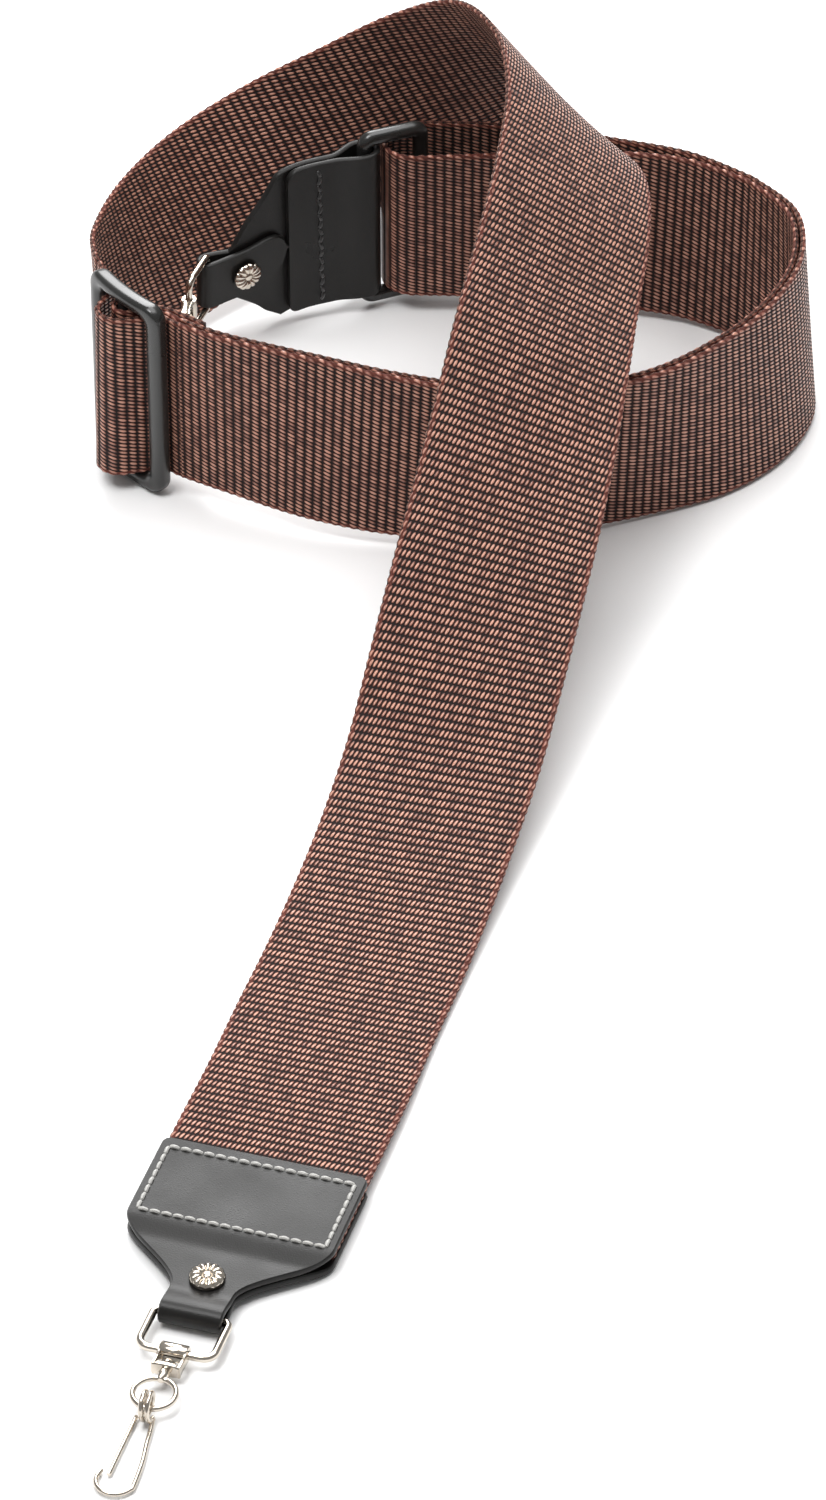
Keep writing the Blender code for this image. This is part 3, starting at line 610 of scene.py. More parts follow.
def web_section():
    """The webbing's outline: distance across and height, with thicker rounded selvedges."""
    half, thick = WEB_WIDTH / 2, WEB_THICK / 2 - 0.1 * MM
    flat = np.linspace(-half + 2.0 * MM, half - 2.0 * MM, 25)
    cord = [(half - 1.3 * MM, thick * 0.93), (half - 0.75 * MM, thick * 1.05),
            (half - 0.25 * MM, thick * 0.8), (half, 0.0)]
    top = [(x, thick) for x in flat] + cord
    right_to_left = [(x, -thick) for x in flat[::-1]]
    below = [(x, -w) for x, w in cord[-2::-1]]
    left = [(-x, -w) for x, w in cord] + [(-x, w) for x, w in cord[-2::-1]]
    return np.array(top + below + right_to_left + left)


SECTION = web_section()


def web_piece(name, stations, start, body, replaced, bulge=None):
    """One run of webbing from its stations. start is its distance along the whole webbing; bulge
    gives how far it tilts, by its share of the run. Returns the piece and the distance at its end."""
    even, centre, across, normal = station_arrays(stations)
    length = even + start
    wave = 0.5 + 0.5 * np.cos(2 * math.pi * (length / PICK - 0.5))
    u, w = SECTION[:, 0], SECTION[:, 1]
    selvedge = np.clip((np.abs(u) - SCALLOP_FROM) / SCALLOP_FADE, 0, 1)
    side = u[None, :] + np.sign(u)[None, :] * selvedge[None, :] * (wave[:, None] - 1) * SCALLOP
    height = w[None, :] * (1 - RIB_DIP * (1 - wave[:, None])) + np.zeros_like(side)
    if bulge is not None:
        height = height + bulge(even / even[-1])[:, None] * (u[None, :] / (WEB_WIDTH / 2))
    grid = (centre[:, None, :] + across[:, None, :] * side[..., None]
            + normal[:, None, :] * height[..., None])
    threads = np.where(w > 0, u / DASH, ROUND - u / DASH)
    uv = np.stack(np.broadcast_arrays(threads[None, :], length[:, None] / PICK), axis=-1)
    mesh = grid_mesh(name, grid, closed_u=True, caps=True, uv=uv)
    piece = add_piece(name, mesh, "webbing", body, replaced, smooth_angle=60)
    return piece, start + even[-1]


def cut(stations, *places):
    """Cut a run at distances along it into runs that share their end stations and their normals."""
    for station, normal in zip(stations, normals(stations)):
        station.normal = normal
    lengths = [0.0]
    for one, two in zip(stations, stations[1:]):
        lengths.append(lengths[-1] + (two.centre - one.centre).length)
    marks = [min(range(len(lengths)), key=lambda k: abs(lengths[k] - place)) for place in places]
    marks = [0, *marks, len(stations) - 1]
    return [stations[a:b + 1] for a, b in zip(marks, marks[1:])]


def tail_route():
    start = read_route(TAIL_ROUTE)
    seam, along, _ = front_frame()
    buried = Station(seam + along * WEB_IN_LEATHER, start[0].across)
    arc = arc_run(ARC_START, SLIDER_ANGLE - math.degrees(REACH / ARC_RADIUS), level_after_slider())
    return smooth_route([buried] + start + read_route(ARCH_ROUTE) + arc)


def ring_route(offset, rear, side):
    reach = math.degrees(REACH / ARC_RADIUS)
    arc = arc_run(SLIDER_ANGLE + reach, ARC_END, level_after_slider(LAYER / 2))
    ring = shifted(smooth_route(arc[::3] + read_route(RING_ROUTE)), offset)
    turn = Station(TURN_CENTRE + Vector((0, side * TURN_RADIUS, 0)), LOOP_LEAN)
    back = smooth_route([ring[-1]] + read_route(rear) + [turn])
    return ring + back[1:]


def slider_pass():
    right = crossing(BULGE_RADIUS, BULGE_CENTRE, UNDER_BAR)
    left = [(-u, v) for u, v in reversed(right)]
    level = level_after_slider()
    path = [(-REACH, level)] + left[:-1] + right + [(REACH, level)]
    return [Station(polar(u, v), (0, 0, -1)) for u, v in path]


def sewn_end():
    top = crossing(OVER_CORE, 0.0, UNDER_BAR + LAYER)
    under_level = UNDER_BAR + 2 * LAYER
    lean = math.degrees(math.asin((under_level - OVER_CORE) / BAR_PITCH))
    wrap = arc_points((0, 0), OVER_CORE, 270 - lean, 90, 18)
    under = arc_points((BAR_PITCH, 0), under_level, 270 - lean, 270, 8)
    path = ([(BAR_PITCH + 11 * MM, -under_level)] + under[::-1] + wrap[:-1] + top
            + [(REACH, level_after_slider(LAYER))])
    return [Station(polar(u, v), (0, 0, -1)) for u, v in path[::-1]]


def loop_turn():
    points = arc_points(TURN_CENTRE.xy, TURN_RADIUS, 270, 90, 30)
    return [Station((u, v, TURN_CENTRE.z), LOOP_LEAN) for u, v in points]


def run_length(stations):
    return sum((b.centre - a.centre).length for a, b in zip(stations, stations[1:]))


def numbered(stem, count):
    return [f"{stem}_{k + 1}" for k in range(count)]


# the webbing next to where the slider travels: the length of each run, and a distance along the arc for
# it
BEFORE_SLIDER, BLEND_BEFORE = 40 * MM, 38 * MM
BY_SLIDER, BLEND_BY = 45 * MM, 42 * MM


def webbing():
    """The whole length of webbing, in runs from the front leather end to the end on the slider."""
    tail = tail_route()
    lay, before = cut(tail, run_length(tail) - BEFORE_SLIDER)
    _, at = web_piece("webbing_tail_and_arch", lay, 0.0, "strap",
                      (*numbered("webbing_tail", 3), *numbered("webbing_arch", 2),
                       *numbered("webbing_descent", 4)))
    piece, at = web_piece("webbing_into_slider", before, at, None, ("webbing_before_slider",))
    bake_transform(piece)

    def bulge(t):
        return 0.7 * MM * np.exp(-((t - 0.5) / 0.16) ** 2)

    _, at = web_piece("webbing_over_slider", slider_pass(), at, "slider",
                      ("webbing_slider_pass",), bulge)
    inner = ring_route(-LAYER / 2, REAR_INNER, -1)
    near, rest = cut(inner, BY_SLIDER)
    piece, at = web_piece("webbing_inner_at_slider", near, at, None, ("webbing_inner_by_slider",))
    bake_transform(piece)
    _, at = web_piece("webbing_inner", rest, at, "strap",
                      ("webbing_inner_front", *numbered("webbing_inner_bend", 2), "webbing_inner_rear"))
    _, at = web_piece("webbing_turn", loop_turn(), at, "strap", ("webbing_loop_turn",))
    outer = ring_route(LAYER / 2, REAR_OUTER, 1)[::-1]
    rest, near = cut(outer, run_length(outer) - BY_SLIDER)
    _, at = web_piece("webbing_outer", rest, at, "strap",
                      ("webbing_outer_front", *numbered("webbing_outer_bend", 2), "webbing_outer_rear"))
    piece, at = web_piece("webbing_outer_at_slider", near, at, None, ("webbing_outer_by_slider",))
    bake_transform(piece)
    web_piece("webbing_end_on_slider", sewn_end(), at, "slider", ("webbing_sewn_end",))


# ---------------------------------------------------------------- slider and loop


def rounded_rectangle(half_x, half_y, corner):
    """Points of a rounded rectangle, the same number for any size, starting at the +x side."""
    per_corner, per_side = 10, 12
    points = []
    for sx, sy, start in ((1, 1, 0), (-1, 1, 90), (-1, -1, 180), (1, -1, 270)):
        centre = (sx * (half_x - corner), sy * (half_y - corner))
        points += arc_points(centre, corner, start, start + 90, per_corner)
    out = []
    for k, point in enumerate(points):
        out.append(point)
        after = points[(k + 1) % len(points)]
        if (k + 1) % (per_corner + 1) == 0:
            out += [tuple(p + (q - p) * j / per_side for p, q in zip(point, after))
                    for j in range(1, per_side)]
    return out


def slider():
    """Moulded frame with softened corners, faceted bars and a round centre bar, bent to its arc."""
    outer = rounded_rectangle(BAR_PITCH + BAR_HALF, SLIDER_HALF, 4.6 * MM)
    inner = rounded_rectangle(BAR_PITCH - BAR_HALF, SLIDER_WINDOW, 3.0 * MM)
    # across the bar from the outer side to the window, and out of the face
    profile = [(0.0, -0.35), (0.0, 0.35), (0.04, 0.62), (0.13, 0.84), (0.30, 0.96), (0.50, 1.0),
               (0.70, 0.96), (0.87, 0.80), (0.96, 0.55), (1.0, 0.3), (1.0, -0.3), (0.96, -0.6),
               (0.85, -0.86), (0.68, -0.98), (0.32, -0.98), (0.15, -0.86), (0.04, -0.62)]
    grid = []
    for (ox, oy), (ix, iy) in zip(outer, inner):
        grid.append([polar(ox + (ix - ox) * t, out * BAR_HALF, oy + (iy - oy) * t)
                     for t, out in profile])
    rim = grid_mesh("rim", grid, closed_u=True, closed_v=True)
    points = [polar(0, 0, (k / 10 - 1) * (SLIDER_WINDOW + 1.5 * MM)) for k in range(21)]
    core = wire_mesh("core", points, CORE, sides=20)
    add_piece("slider_frame", joined("slider_frame", [rim, core]), "moulding", "slider", ("slider",),
              smooth_angle=50)


def bar_tack():
    """Two rows of lock stitches that close the webbing's end round the centre bar."""
    depth = -(UNDER_BAR + 2 * LAYER) - WEB_THICK / 2 - 0.12 * MM
    stitches = []
    for row in (7.0, 9.5):
        for k in range(-9, 10):
            a = polar(BAR_PITCH + row * MM, depth, (k - 0.36) * 2.4 * MM)
            b = polar(BAR_PITCH + row * MM, depth, (k + 0.36) * 2.4 * MM)
            stitches.append(stitch(a, b, ARC_CENTRE + Vector((0, 0, a.z)) - a))
    add_piece("slider_bar_tack", joined("slider_bar_tack", stitches), "thread", "slider", ("bar_tack",),
              material=("black_thread",))


def bent_rectangle(reach, half, far_corner, near_corner):
    """Closed path of a rectangle from x = 0 to reach, with its corners rounded."""
    points = []
    for x, y, start in ((reach, half, 0), (0, half, 90), (0, -half, 180), (reach, -half, 270)):
        corner = far_corner if x else near_corner
        centre = (x - math.copysign(corner, x - 1 * MM), y - math.copysign(corner, y))
        points += [Vector((u, v, 0)) for u, v in arc_points(centre, corner, start, start + 90, 8)]
    return points


def rear_loop():
    """Moulded rectangular loop between the webbing's turn and the rear leather end."""
    heading = Vector((math.cos(math.radians(LOOP_HEADING)), math.sin(math.radians(LOOP_HEADING)), 0))
    place = frame_matrix(LOOP_LEATHER_BAR, heading, -LOOP_LEAN)
    points = bent_rectangle(LOOP_PITCH, LOOP_HALF, 2.4 * MM, 2.4 * MM)
    mesh = moved(wire_mesh("loop", points, LOOP_BAR, sides=24, cyclic=True), place)
    add_piece("rear_loop_frame", mesh, "moulding", "rear_loop", ("rectangular_loop",))


# ---------------------------------------------------------------- leather


STITCH_RADIUS = 0.5 * MM
STITCH_DIP = 0.35 * MM     # how far its ends go into the leather or webbing


def stitch(a, b, up):
    """One stitch: a short plump thread that dips into its holes at both ends."""
    a, b, up = Vector(a), Vector(b), Vector(up).normalized()
    points = [a - up * STITCH_DIP]
    for k in range(7):
        t = k / 6
        points.append(a.lerp(b, 0.06 + 0.88 * t) + up * 0.22 * MM * math.sin(math.pi * t))
    points.append(b - up * STITCH_DIP)
    return wire_mesh("stitch", points, STITCH_RADIUS, sides=8)


def stitch_line(points, up, pitch=2.9 * MM, swing=0.0):
    """Stitches along straight lines between points."""
    out = []
    for one, two in zip(points, points[1:]):
        one, two = Vector(one), Vector(two)
        count = max(1, round((two - one).length / pitch))
        side = (two - one).normalized().cross(Vector(up)).normalized()
        for k in range(count):
            a = one.lerp(two, (k + 0.17) / count)
            b = one.lerp(two, (k + 0.83) / count)
            wobble = side * swing * (1 if k % 2 else -1)
            out.append(stitch(a - wobble, b + wobble, up))
    return out


LEATHER_EDGE = 0.45 * MM   # width of a leather band's rounding at each cut edge


def leather_piece(name, stations, dips, replaced):
    """A folded leather band: flat faces, pulled in by its stitching, and rounded cut edges."""
    lateral = np.linspace(-1, 1, 33)
    thick = LEATHER_THICK
    grid = []
    for k, (s, n) in enumerate(zip(stations, normals(stations))):
        flat = max(s.half - LEATHER_EDGE, 0.0003)

        def spot(u, out):
            return s.centre + s.across * u + n * out

        top = [spot(t * flat, thick / 2 - dips(k, t * flat)) for t in lateral]
        under = [spot(t * flat, -thick / 2) for t in lateral]
        near = s.half - 0.12 * MM
        right = [spot(near, thick * 0.30), spot(s.half, 0), spot(near, -thick * 0.30)]
        left = [spot(-near, -thick * 0.30), spot(-s.half, 0), spot(-near, thick * 0.30)]
        grid.append(top + right + under[::-1] + left)
    count = len(lateral)
    edges = set(range(count - 1, count + 3)) | set(range(2 * count + 2, 2 * count + 6))
    mesh = grid_mesh("leather", grid, closed_u=True, caps=True, edge_columns=edges)
    add_piece(name, mesh, "leather", "strap", replaced, material=("leather", "edge"))


def front_frame():
    along = Vector((-0.295, -0.955, 0)).normalized()
    across = Vector((0.955, -0.295, 0)).normalized()
    return read_route(TAIL_ROUTE)[0].centre + along * FRONT_SEAM, along, across


RISE = 0.15 * MM                       # lift of the front leather end's neck
BOX_FROM, BOX_TO = 3.2 * MM, 26 * MM   # the box stitching, from the leather end's top edge
BOX_HALF = 23.2 * MM


def groove(distance, depth):
    """How far stitching pulls the leather in, at a distance from its line."""
    return depth * math.exp(-(distance / (0.8 * MM)) ** 2)


def front_leather():
    """Leather end folded round the front D-ring, with its box stitching and rivet."""
    seam, along, across = front_frame()

    def spread(s):
        closed = (GAP + LEATHER_THICK) / 2
        over_web = WEB_THICK / 2 + GAP + LEATHER_THICK / 2
        share = ease(s, WEB_IN_LEATHER + 1 * MM, WEB_IN_LEATHER + 8 * MM)
        return over_web + share * (closed - over_web)

    def half(s):
        body = LEATHER_HALF + ease(s, PANEL - 4 * MM, NECK_START) * (NECK_HALF - LEATHER_HALF)
        corner = 1.6 * MM
        if s < corner:
            body -= corner - math.sqrt(max(0.0, corner * corner - (corner - s) ** 2))
        return body

    def station(s, out):
        lift = ease(s, PANEL, FRONT_RIVET - 6 * MM) * RISE
        return Station(seam + along * s + Vector((0, 0, out + lift)), across, half(s))

    fold = WIRE + GAP + LEATHER_THICK / 2
    distances = [0, 0.25 * MM, 0.6 * MM, 1.1 * MM, 1.7 * MM] + [k * MM for k in range(3, 54)]
    front = [(s, spread(s) + ease(s, FRONT_LENGTH - 3 * fold, FRONT_LENGTH) * (fold - spread(s)))
             for s in distances]
    arc = arc_points((FRONT_LENGTH, 0), fold, 90, -90, 20)
    back = [(s, -v) for s, v in reversed(front)]
    path = front + arc + back
    stations = [station(s, v) for s, v in path]

    def dips(k, u):
        s, out = path[k]
        if out < 0 or k > len(front):
            return 0.0
        margin = 0.2 * MM
        near_x = near_u = 1.0
        if abs(u) < BOX_HALF + 4 * margin:
            near_x = min(abs(s - BOX_FROM), abs(s - BOX_TO))
        if BOX_FROM - margin < s < BOX_TO + margin:
            near_u = abs(abs(u) - BOX_HALF)
        return groove(min(near_x, near_u), 0.14 * MM)

    leather_piece("front_leather_end", stations, dips, ("leather_end_front",))

    top = WEB_THICK / 2 + GAP + LEATHER_THICK + 0.05 * MM
    place = frame_matrix(seam, along, across)
    corners = [(BOX_FROM, -BOX_HALF), (BOX_FROM, BOX_HALF), (BOX_TO, BOX_HALF),
               (BOX_TO, -BOX_HALF), (BOX_FROM, -BOX_HALF)]
    points = [place @ Vector((x, y, top)) for x, y in corners]
    mesh = joined("box", stitch_line(points, (0, 0, 1)))
    add_piece("front_box_stitching", mesh, "thread", "strap", ("box_stitching_front",),
              material=("thread",))

    rivet("front_rivet", place @ Matrix.Translation((FRONT_RIVET, 0, RISE)),
          LEATHER_THICK + GAP / 2, ("rivet_front",))
    return frame_matrix(seam + along * FRONT_LENGTH + Vector((0, 0, RISE)), along, across)


def rear_path(s):
    place, heading = LOOP_LEATHER_BAR.copy(), None
    steps = max(1, round(s / MM))
    for k in range(steps):
        here = (k + 0.5) / steps * s
        bend = ease(here, 14 * MM, 30 * MM)
        sag = bend * (1 - ease(here, 28 * MM, 42 * MM))
        angle = math.radians(198 + 14 * bend)
        heading = Vector((math.cos(angle), math.sin(angle), -0.05 - 0.35 * sag))
        if s > 0:
            place += heading * (s / steps)
    return place, heading.normalized()


def rear_frame(s):
    place, heading = rear_path(s)
    return frame_matrix(place, heading, LOOP_LEAN - heading * heading.dot(LOOP_LEAN))


FLAP = 24 * MM             # the rear leather end's short side, from the black loop
ROW_AT = 14 * MM           # its stitch line, from the black loop


def rear_leather():
    """Leather end folded round the black loop and the rear D-ring, with its stitches and rivet."""
    def half(s):
        taper = min(1.0, max(0.0, (s - REAR_PANEL) / (REAR_NECK - REAR_PANEL)))
        return LEATHER_HALF + taper * (NECK_HALF - LEATHER_HALF)

    def across(s):
        heading = rear_path(s)[1]
        return LOOP_LEAN - heading * heading.dot(LOOP_LEAN) * ease(s, 30 * MM, 42 * MM)

    def station(s, out, width=None):
        inside = max(0.0, min(s, REAR_LENGTH))
        centre = rear_frame(inside) @ Vector((s - inside, 0, out))
        return Station(centre, across(s), width or half(s))

    stack = LEATHER_THICK + GAP
    loop_fold = LOOP_BAR + 1.5 * GAP + LEATHER_THICK / 2
    ring_fold = WIRE + GAP + LEATHER_THICK / 2
    corner = 3.2 * MM
    panel = []
    places = [k * MM for k in (*range(1, 22), 21.6, 22, 22.4, 22.8, 23.2, 23.5, 23.8, 23.95, 24)]
    for s in places:
        out = loop_fold + ease(s, 1.5 * MM, 10 * MM) * (stack - loop_fold)
        cut_back = max(0.0, s - (FLAP - corner))
        rounded = math.sqrt(max(0.0, corner ** 2 - cut_back ** 2))
        panel.append(station(s, out, LEATHER_HALF - corner + rounded))
    fold = [station(u, v) for u, v in arc_points((0, 0), loop_fold, 90, 270, 24)]
    body = [station(k * MM, -loop_fold + ease(k * MM, 1.5 * MM, 10 * MM) * loop_fold)
            for k in range(1, 42)]
    neck = [station(k * MM, -ease(k * MM, 39 * MM, REAR_LENGTH) * ring_fold)
            for k in range(42, 49)]
    end = [station(u, v, NECK_HALF)
           for u, v in arc_points((REAR_LENGTH, 0), ring_fold, -90, 90, 20)]
    tab = []
    round_from = 32.6 * MM
    tab_places = [k * MM for k in range(48, 33, -1)] + [round_from - k * 0.8 * MM for k in range(10)]
    for s in tab_places + [24.75 * MM, 24.4 * MM, 24.25 * MM]:
        out = ring_fold + ease(-s, -REAR_LENGTH, -40 * MM) * (stack - ring_fold)
        past = max(0.0, round_from - s)
        width = math.sqrt(max(NECK_HALF ** 2 - past ** 2, (0.5 * MM) ** 2))
        tab.append(station(s, out, width))
    run = panel[::-1] + fold[1:] + body + neck + end + tab

    def dips(k, _):
        return groove(places[::-1][k] - ROW_AT, 0.12 * MM) if k < len(places) else 0.0

    leather_piece("rear_leather_end", run, dips, ("leather_end_rear",))

    at_rivet = rear_frame(REAR_RIVET) @ Matrix.Translation((0, 0, stack / 2))
    rivet("rear_rivet", at_rivet, LEATHER_THICK + 2 * GAP, ("rivet_rear",))
    outside = stack + LEATHER_THICK / 2 + 0.05 * MM
    place = rear_frame(ROW_AT)
    points = [place @ Vector((0, k * 23.5 * MM, outside)) for k in (-1, 1)]
    up = place.to_3x3() @ Vector((0, 0, 1))
    mesh = joined("row", stitch_line(points, up, 2.6 * MM, 0.25 * MM))
    add_piece("rear_stitch_row", mesh, "thread", "strap", ("stitch_row_rear",),
              material=("black_thread",))
    return rear_frame(REAR_LENGTH) @ Matrix.Rotation(math.radians(REAR_RING_SWING), 4, "Y")


def rivet(name, matrix, half_stack, replaced):
    """Fluted cap like an open flower, with its post and washer."""
    post, washer = 1.4 * MM, 3.6 * MM
    rim = half_stack + GAP
    profile = [(0.15, 1.45, 0), (0.6, 1.5, 0), (0.95, 1.35, 0), (1.15, 1.15, 0.2), (1.5, 1.5, 0.7),
               (2.0, 1.75, 1), (2.6, 1.8, 1), (3.2, 1.7, 1), (3.7, 1.5, 1), (4.05, 1.2, 0.9),
               (4.25, 0.75, 0.6), (4.3, 0.3, 0.3), (4.2, 0.0, 0.0)]
    petals, around = 13, 104
    grid = []
    for j in range(around):
        angle = 2 * math.pi * j / around
        flute = abs(math.cos(petals * angle / 2)) ** 0.7
        row = []
        for r, z, share in profile:
            reach = r * MM - share * 0.22 * MM * (1 - flute) * (r / 4.3)
            row.append((reach * math.cos(angle), reach * math.sin(angle),
                        rim + z * MM - share * 0.42 * MM * (1 - flute)))
        for r, z in ((post, rim), (post, -rim), (washer, -rim), (washer, -rim - 0.45 * MM),
                     (washer - 0.4 * MM, -rim - 0.7 * MM), (0.15 * MM, -rim - 0.7 * MM)):
            row.append((r * math.cos(angle), r * math.sin(angle), z))
        grid.append(row)
    mesh = grid_mesh(name, grid, closed_v=True)
    bm = bmesh.new()
    bm.from_mesh(mesh)
    bmesh.ops.holes_fill(bm, edges=[e for e in bm.edges if e.is_boundary])
    bmesh.ops.recalc_face_normals(bm, faces=bm.faces)
    bm.to_mesh(mesh)
    bm.free()
    add_piece(name + "_flower", moved(mesh, matrix), "nickel", "strap", replaced, smooth_angle=60)


# ---------------------------------------------------------------- hook sets


def d_ring(key, place):
    """Bent wire ring, squarer where the leather folds round it."""
    points = bent_rectangle(D_RING_REACH, D_RING_HALF, 2.8 * MM, 1.7 * MM)
    mesh = moved(wire_mesh("ring", points, WIRE, sides=20, cyclic=True), place)
    add_piece(f"{key}_d_ring", mesh, "nickel", f"d_ring_{key}", (f"d_ring_{key}",))


BEVELLED = ((1, -0.8), (1, 0.8), (0.5, 1), (-0.5, 1), (-1, 0.8), (-1, -0.8), (-0.5, -1), (0.5, -1))
ROUNDED = ((1, -0.85), (1, 0.85), (0.6, 1), (-0.6, 1), (-1, 0.85), (-1, -0.85), (-0.6, -1), (0.6, -1))


def swivel_clamp(key, place):
    """Stamped stirrup that wraps the ring's bar and holds the pin's head between its arms."""
    outer, inner = WIRE + GAP + 0.9 * MM, WIRE + GAP * 0.6
    plate_from, plate_to = PLATE_FROM - D_RING_REACH, PLATE_TO - D_RING_REACH
    half = CLAMP_HALF
    soft, side_from, side_to = outer - 0.2 * MM, half - 0.5 * MM, half - 0.25 * MM
    section = ((outer, -side_from), (outer, side_from), (soft, side_to),
               (inner, side_to), (inner, -side_to), (soft, -side_to))
    barrel = []
    for k in range(29):
        angle = math.radians(40 + 280 * k / 28)
        barrel.append([(r * math.cos(angle), y, r * math.sin(angle)) for r, y in section])
    meshes = [grid_mesh("barrel", barrel, closed_u=True, caps=True)]
    for side in (-1, 1):
        arm = []
        for k in range(9):
            t = k / 8
            x = 0.9 * MM + t * (plate_to - 1.1 * MM)
            width = (1.75 - 0.35 * math.sin(math.pi * t)) * MM
            arm.append([(x, side * side_from + dy * 0.42 * MM, dz * width) for dy, dz in BEVELLED])
        meshes.append(grid_mesh("arm", arm, closed_u=True, caps=True))
    plate = []
    middle, thick = (plate_from + plate_to) / 2, (plate_to - plate_from) / 2
    for k in range(13):
        share = k / 6 - 1
        y = share * (half - 0.35 * MM)
        width = 1.9 * MM * math.sqrt(max(0.45, 1 - share ** 2 * 0.4))
        plate.append([(middle + dx * thick, y, dz * width) for dx, dz in ROUNDED])
    meshes.append(grid_mesh("plate", plate, closed_u=True, caps=True))
    mesh = moved(joined("clamp", meshes), place)
    add_piece(f"{key}_swivel_clamp", mesh, "nickel", f"clamp_{key}", (f"swivel_clamp_{key}",))


def turned(name, profile, place):
    """A round part turned about its own x axis, from (along, radius) pairs in mm."""
    around = 28
    angles = [2 * math.pi * j / around for j in range(around)]
    grid = [[(x * MM, r * MM * math.cos(a), r * MM * math.sin(a)) for a in angles]
            for x, r in profile]
    return moved(grid_mesh(name, grid, closed_u=True, caps=True), place)


def swivel_eye(key, place):
    """Turned pin with its head in the clamp, and the round wire eye on its end."""
    head = PLATE_FROM / MM
    profile = [(head - 1.7, 0.5), (head - 1.6, 1.3), (head - 1.2, 1.85), (head - 0.7, 2.0),
               (head - 0.35, 1.8), (head - 0.3, 1.05), (head + 1.25, 1.05), (head + 1.5, 1.25),
               (head + 2.2, 1.45), (head + 3.2, 1.3), (head + 4.3, 1.0), (head + 4.6, 0.7)]
    points = [Vector((u, v, 0)) for u, v in arc_points((EYE_CENTRE, 0), EYE_RADIUS, 0, 360, 48)[:-1]]
    ring = moved(wire_mesh("ring", points, EYE_WIRE, sides=16, cyclic=True), place)
    mesh = joined("eye", [turned("pin", profile, place), ring])
    add_piece(f"{key}_swivel_eye", mesh, "nickel", f"eye_{key}", (f"swivel_eye_{key}",))


def hook(key, place):
    """Wire hook: two turns round the eye, a leg, the bow and its tip."""
    turns, per_turn = 2, 36
    pitch = 2 * HOOK_WIRE + GAP
    points = []
    for k in range(turns * per_turn + 1):
        angle = math.radians(-90) - 2 * math.pi * k / per_turn
        offset = (k / (turns * per_turn) - 0.5) * turns * pitch
        points.append(Vector((COIL_RADIUS * math.cos(angle), offset, COIL_RADIUS * math.sin(angle))))
    level = -COIL_RADIUS
    leg = [Vector((D_RING_REACH + x * MM - COIL_CENTRE.x, y * MM, level))
           for x, y in ((23, 2.2), (28, 2.9), (34, 3.9))]
    bow = [Vector((u - COIL_CENTRE.x, v, level))
           for u, v in arc_points((HOOK_BOW_CENTRE, 0), HOOK_BOW, 80, -100, 12)]
    tip = [Vector((D_RING_REACH + 38.5 * MM - COIL_CENTRE.x, -4.2 * MM, level))]
    points += smooth_points([points[-1]] + leg + bow + tip, 0.6 * MM)[1:]
    mesh = moved(wire_mesh("hook", points, HOOK_WIRE, sides=14), place)
    add_piece(f"{key}_hook", mesh, "nickel", f"hook_{key}", (f"hook_{key}",))


def gate(key, place):
    """Springing wire from the turns to the inside of the hook's tip."""
    points = smooth_points([(0, 0, 0), (8 * MM, 0.1 * MM, 0), (19.5 * MM, 0.25 * MM, 0)], 0.8 * MM)
    mesh = moved(wire_mesh("gate", points, HOOK_WIRE * 0.9, sides=14), place)
    add_piece(f"{key}_gate", mesh, "nickel", f"gate_{key}", (f"gate_{key}",))


def hook_set(key, place, turn, spin, pitch):
    """All that hangs on one leather end, turned by the same angles as in the CAD."""
    d_ring(key, place)
    bar = place @ Matrix.Translation((D_RING_REACH, 0, 0)) @ Matrix.Rotation(math.radians(turn), 4, "Y")
    swivel_clamp(key, bar)
    pin = bar @ Matrix.Translation((-D_RING_REACH, 0, 0)) @ Matrix.Rotation(math.radians(spin), 4, "X")
    swivel_eye(key, pin)
    link = pin @ Matrix.Translation(COIL_CENTRE) @ Matrix.Rotation(math.radians(pitch), 4, "Y")
    hook(key, link)
    gate(key, link @ Matrix.Translation(GATE_ROOT))


# ---------------------------------------------------------------- studio


FLOOR_HALF, FLOOR_LEVEL = 6.0, -0.4 * MM
WORLD_LIGHT = 0.32
AIM = (0, 0.05, 0.0)
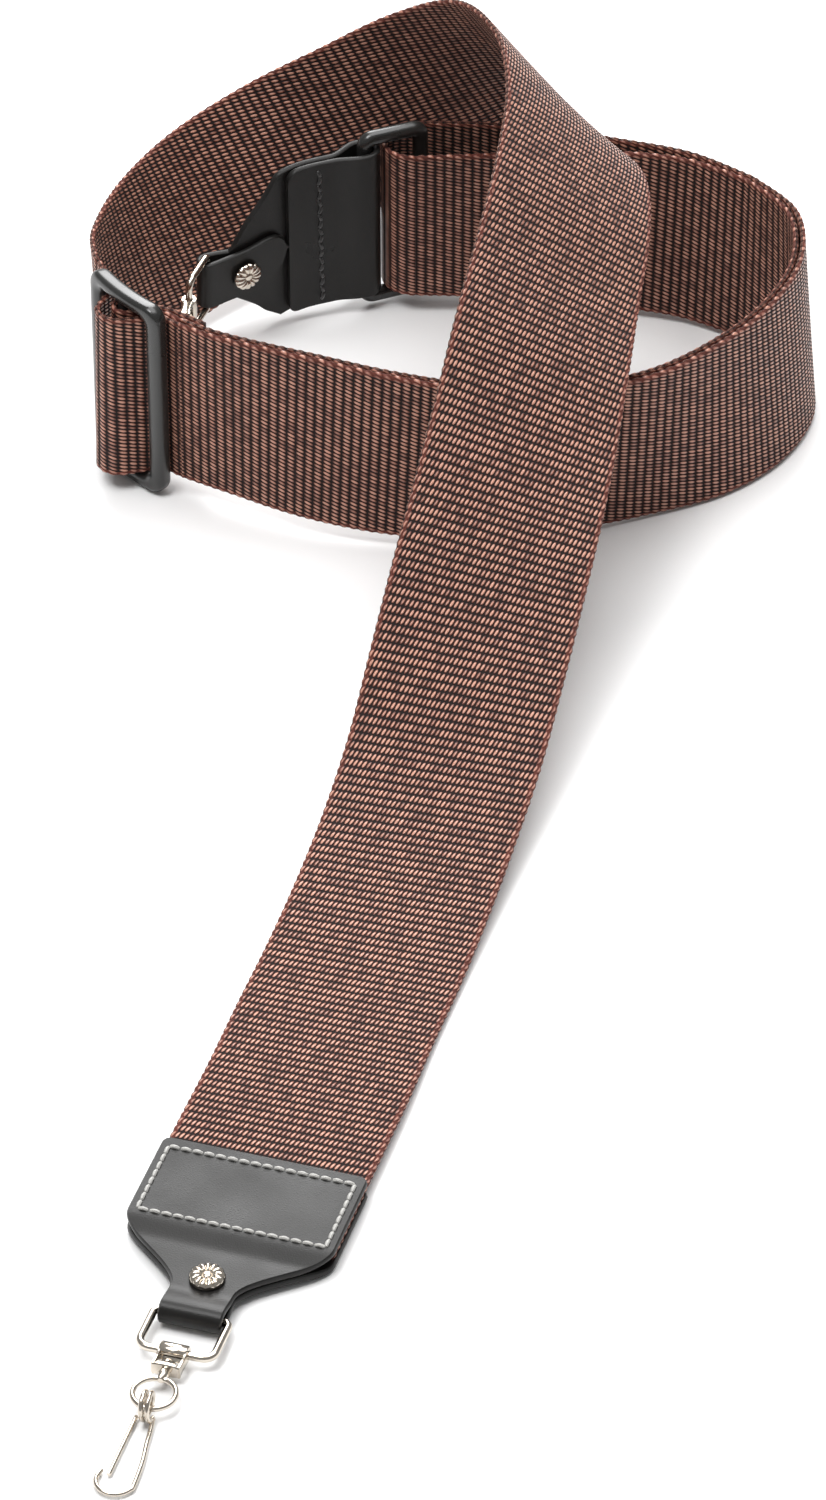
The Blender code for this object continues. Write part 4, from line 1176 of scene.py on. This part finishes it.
# size in m, power in W, place
LIGHTS = {
    "key": (0.5, 10.0, (-0.45, -0.25, 1.2)),
    "top": (1.2, 19.0, (0.2, 0.25, 1.5)),
    "back": (0.9, 24.0, (-0.1, 1.35, 1.0)),
}
CAMERA_PLACE, CAMERA_AIM = (-0.012, -1.2476, 0.9813), (-0.012, 0.0187, 0)
LENS = 270.2


def studio():
    """Pale plain floor, soft light from above and behind, and the camera."""
    mat, _, shader = new_material("studio_floor")
    shader.inputs["Base Color"].default_value = (0.86, 0.86, 0.86, 1)
    shader.inputs["Roughness"].default_value = 0.9
    mesh = bpy.data.meshes.new("floor")
    corners = [(x * FLOOR_HALF, y * FLOOR_HALF, FLOOR_LEVEL)
               for x, y in ((-1, -1), (1, -1), (1, 1), (-1, 1))]
    mesh.from_pydata(corners, [], [(0, 1, 2, 3)])
    mesh.materials.append(mat)
    floor = bpy.data.objects.new("floor", mesh)
    bpy.context.scene.collection.objects.link(floor)

    world = bpy.data.worlds.new("studio")
    world.use_nodes = True
    background = world.node_tree.nodes["Background"]
    background.inputs[0].default_value = (1, 1, 1, 1)
    background.inputs[1].default_value = WORLD_LIGHT
    bpy.context.scene.world = world

    def place(item, location, aim):
        item.location = location
        away = Vector(aim) - Vector(location)
        item.rotation_euler = away.to_track_quat("-Z", "Y").to_euler()
        bpy.context.scene.collection.objects.link(item)

    for name, (size, power, location) in LIGHTS.items():
        lamp = bpy.data.lights.new(name, "AREA")
        lamp.size = size
        lamp.energy = power
        place(bpy.data.objects.new(name, lamp), location, AIM)

    lens = bpy.data.cameras.new("camera")
    lens.sensor_fit = "HORIZONTAL"
    lens.sensor_width = 36
    lens.lens = LENS
    lens.clip_start = 0.05
    camera = bpy.data.objects.new("camera", lens)
    place(camera, CAMERA_PLACE, CAMERA_AIM)
    bpy.context.scene.camera = camera
    bpy.context.scene.view_settings.view_transform = "Standard"


webbing()
slider()
bar_tack()
rear_loop()
hook_set("front", front_leather(), 0, 0, 0)
hook_set("rear", rear_leather(), -14, 90, 38)
studio()
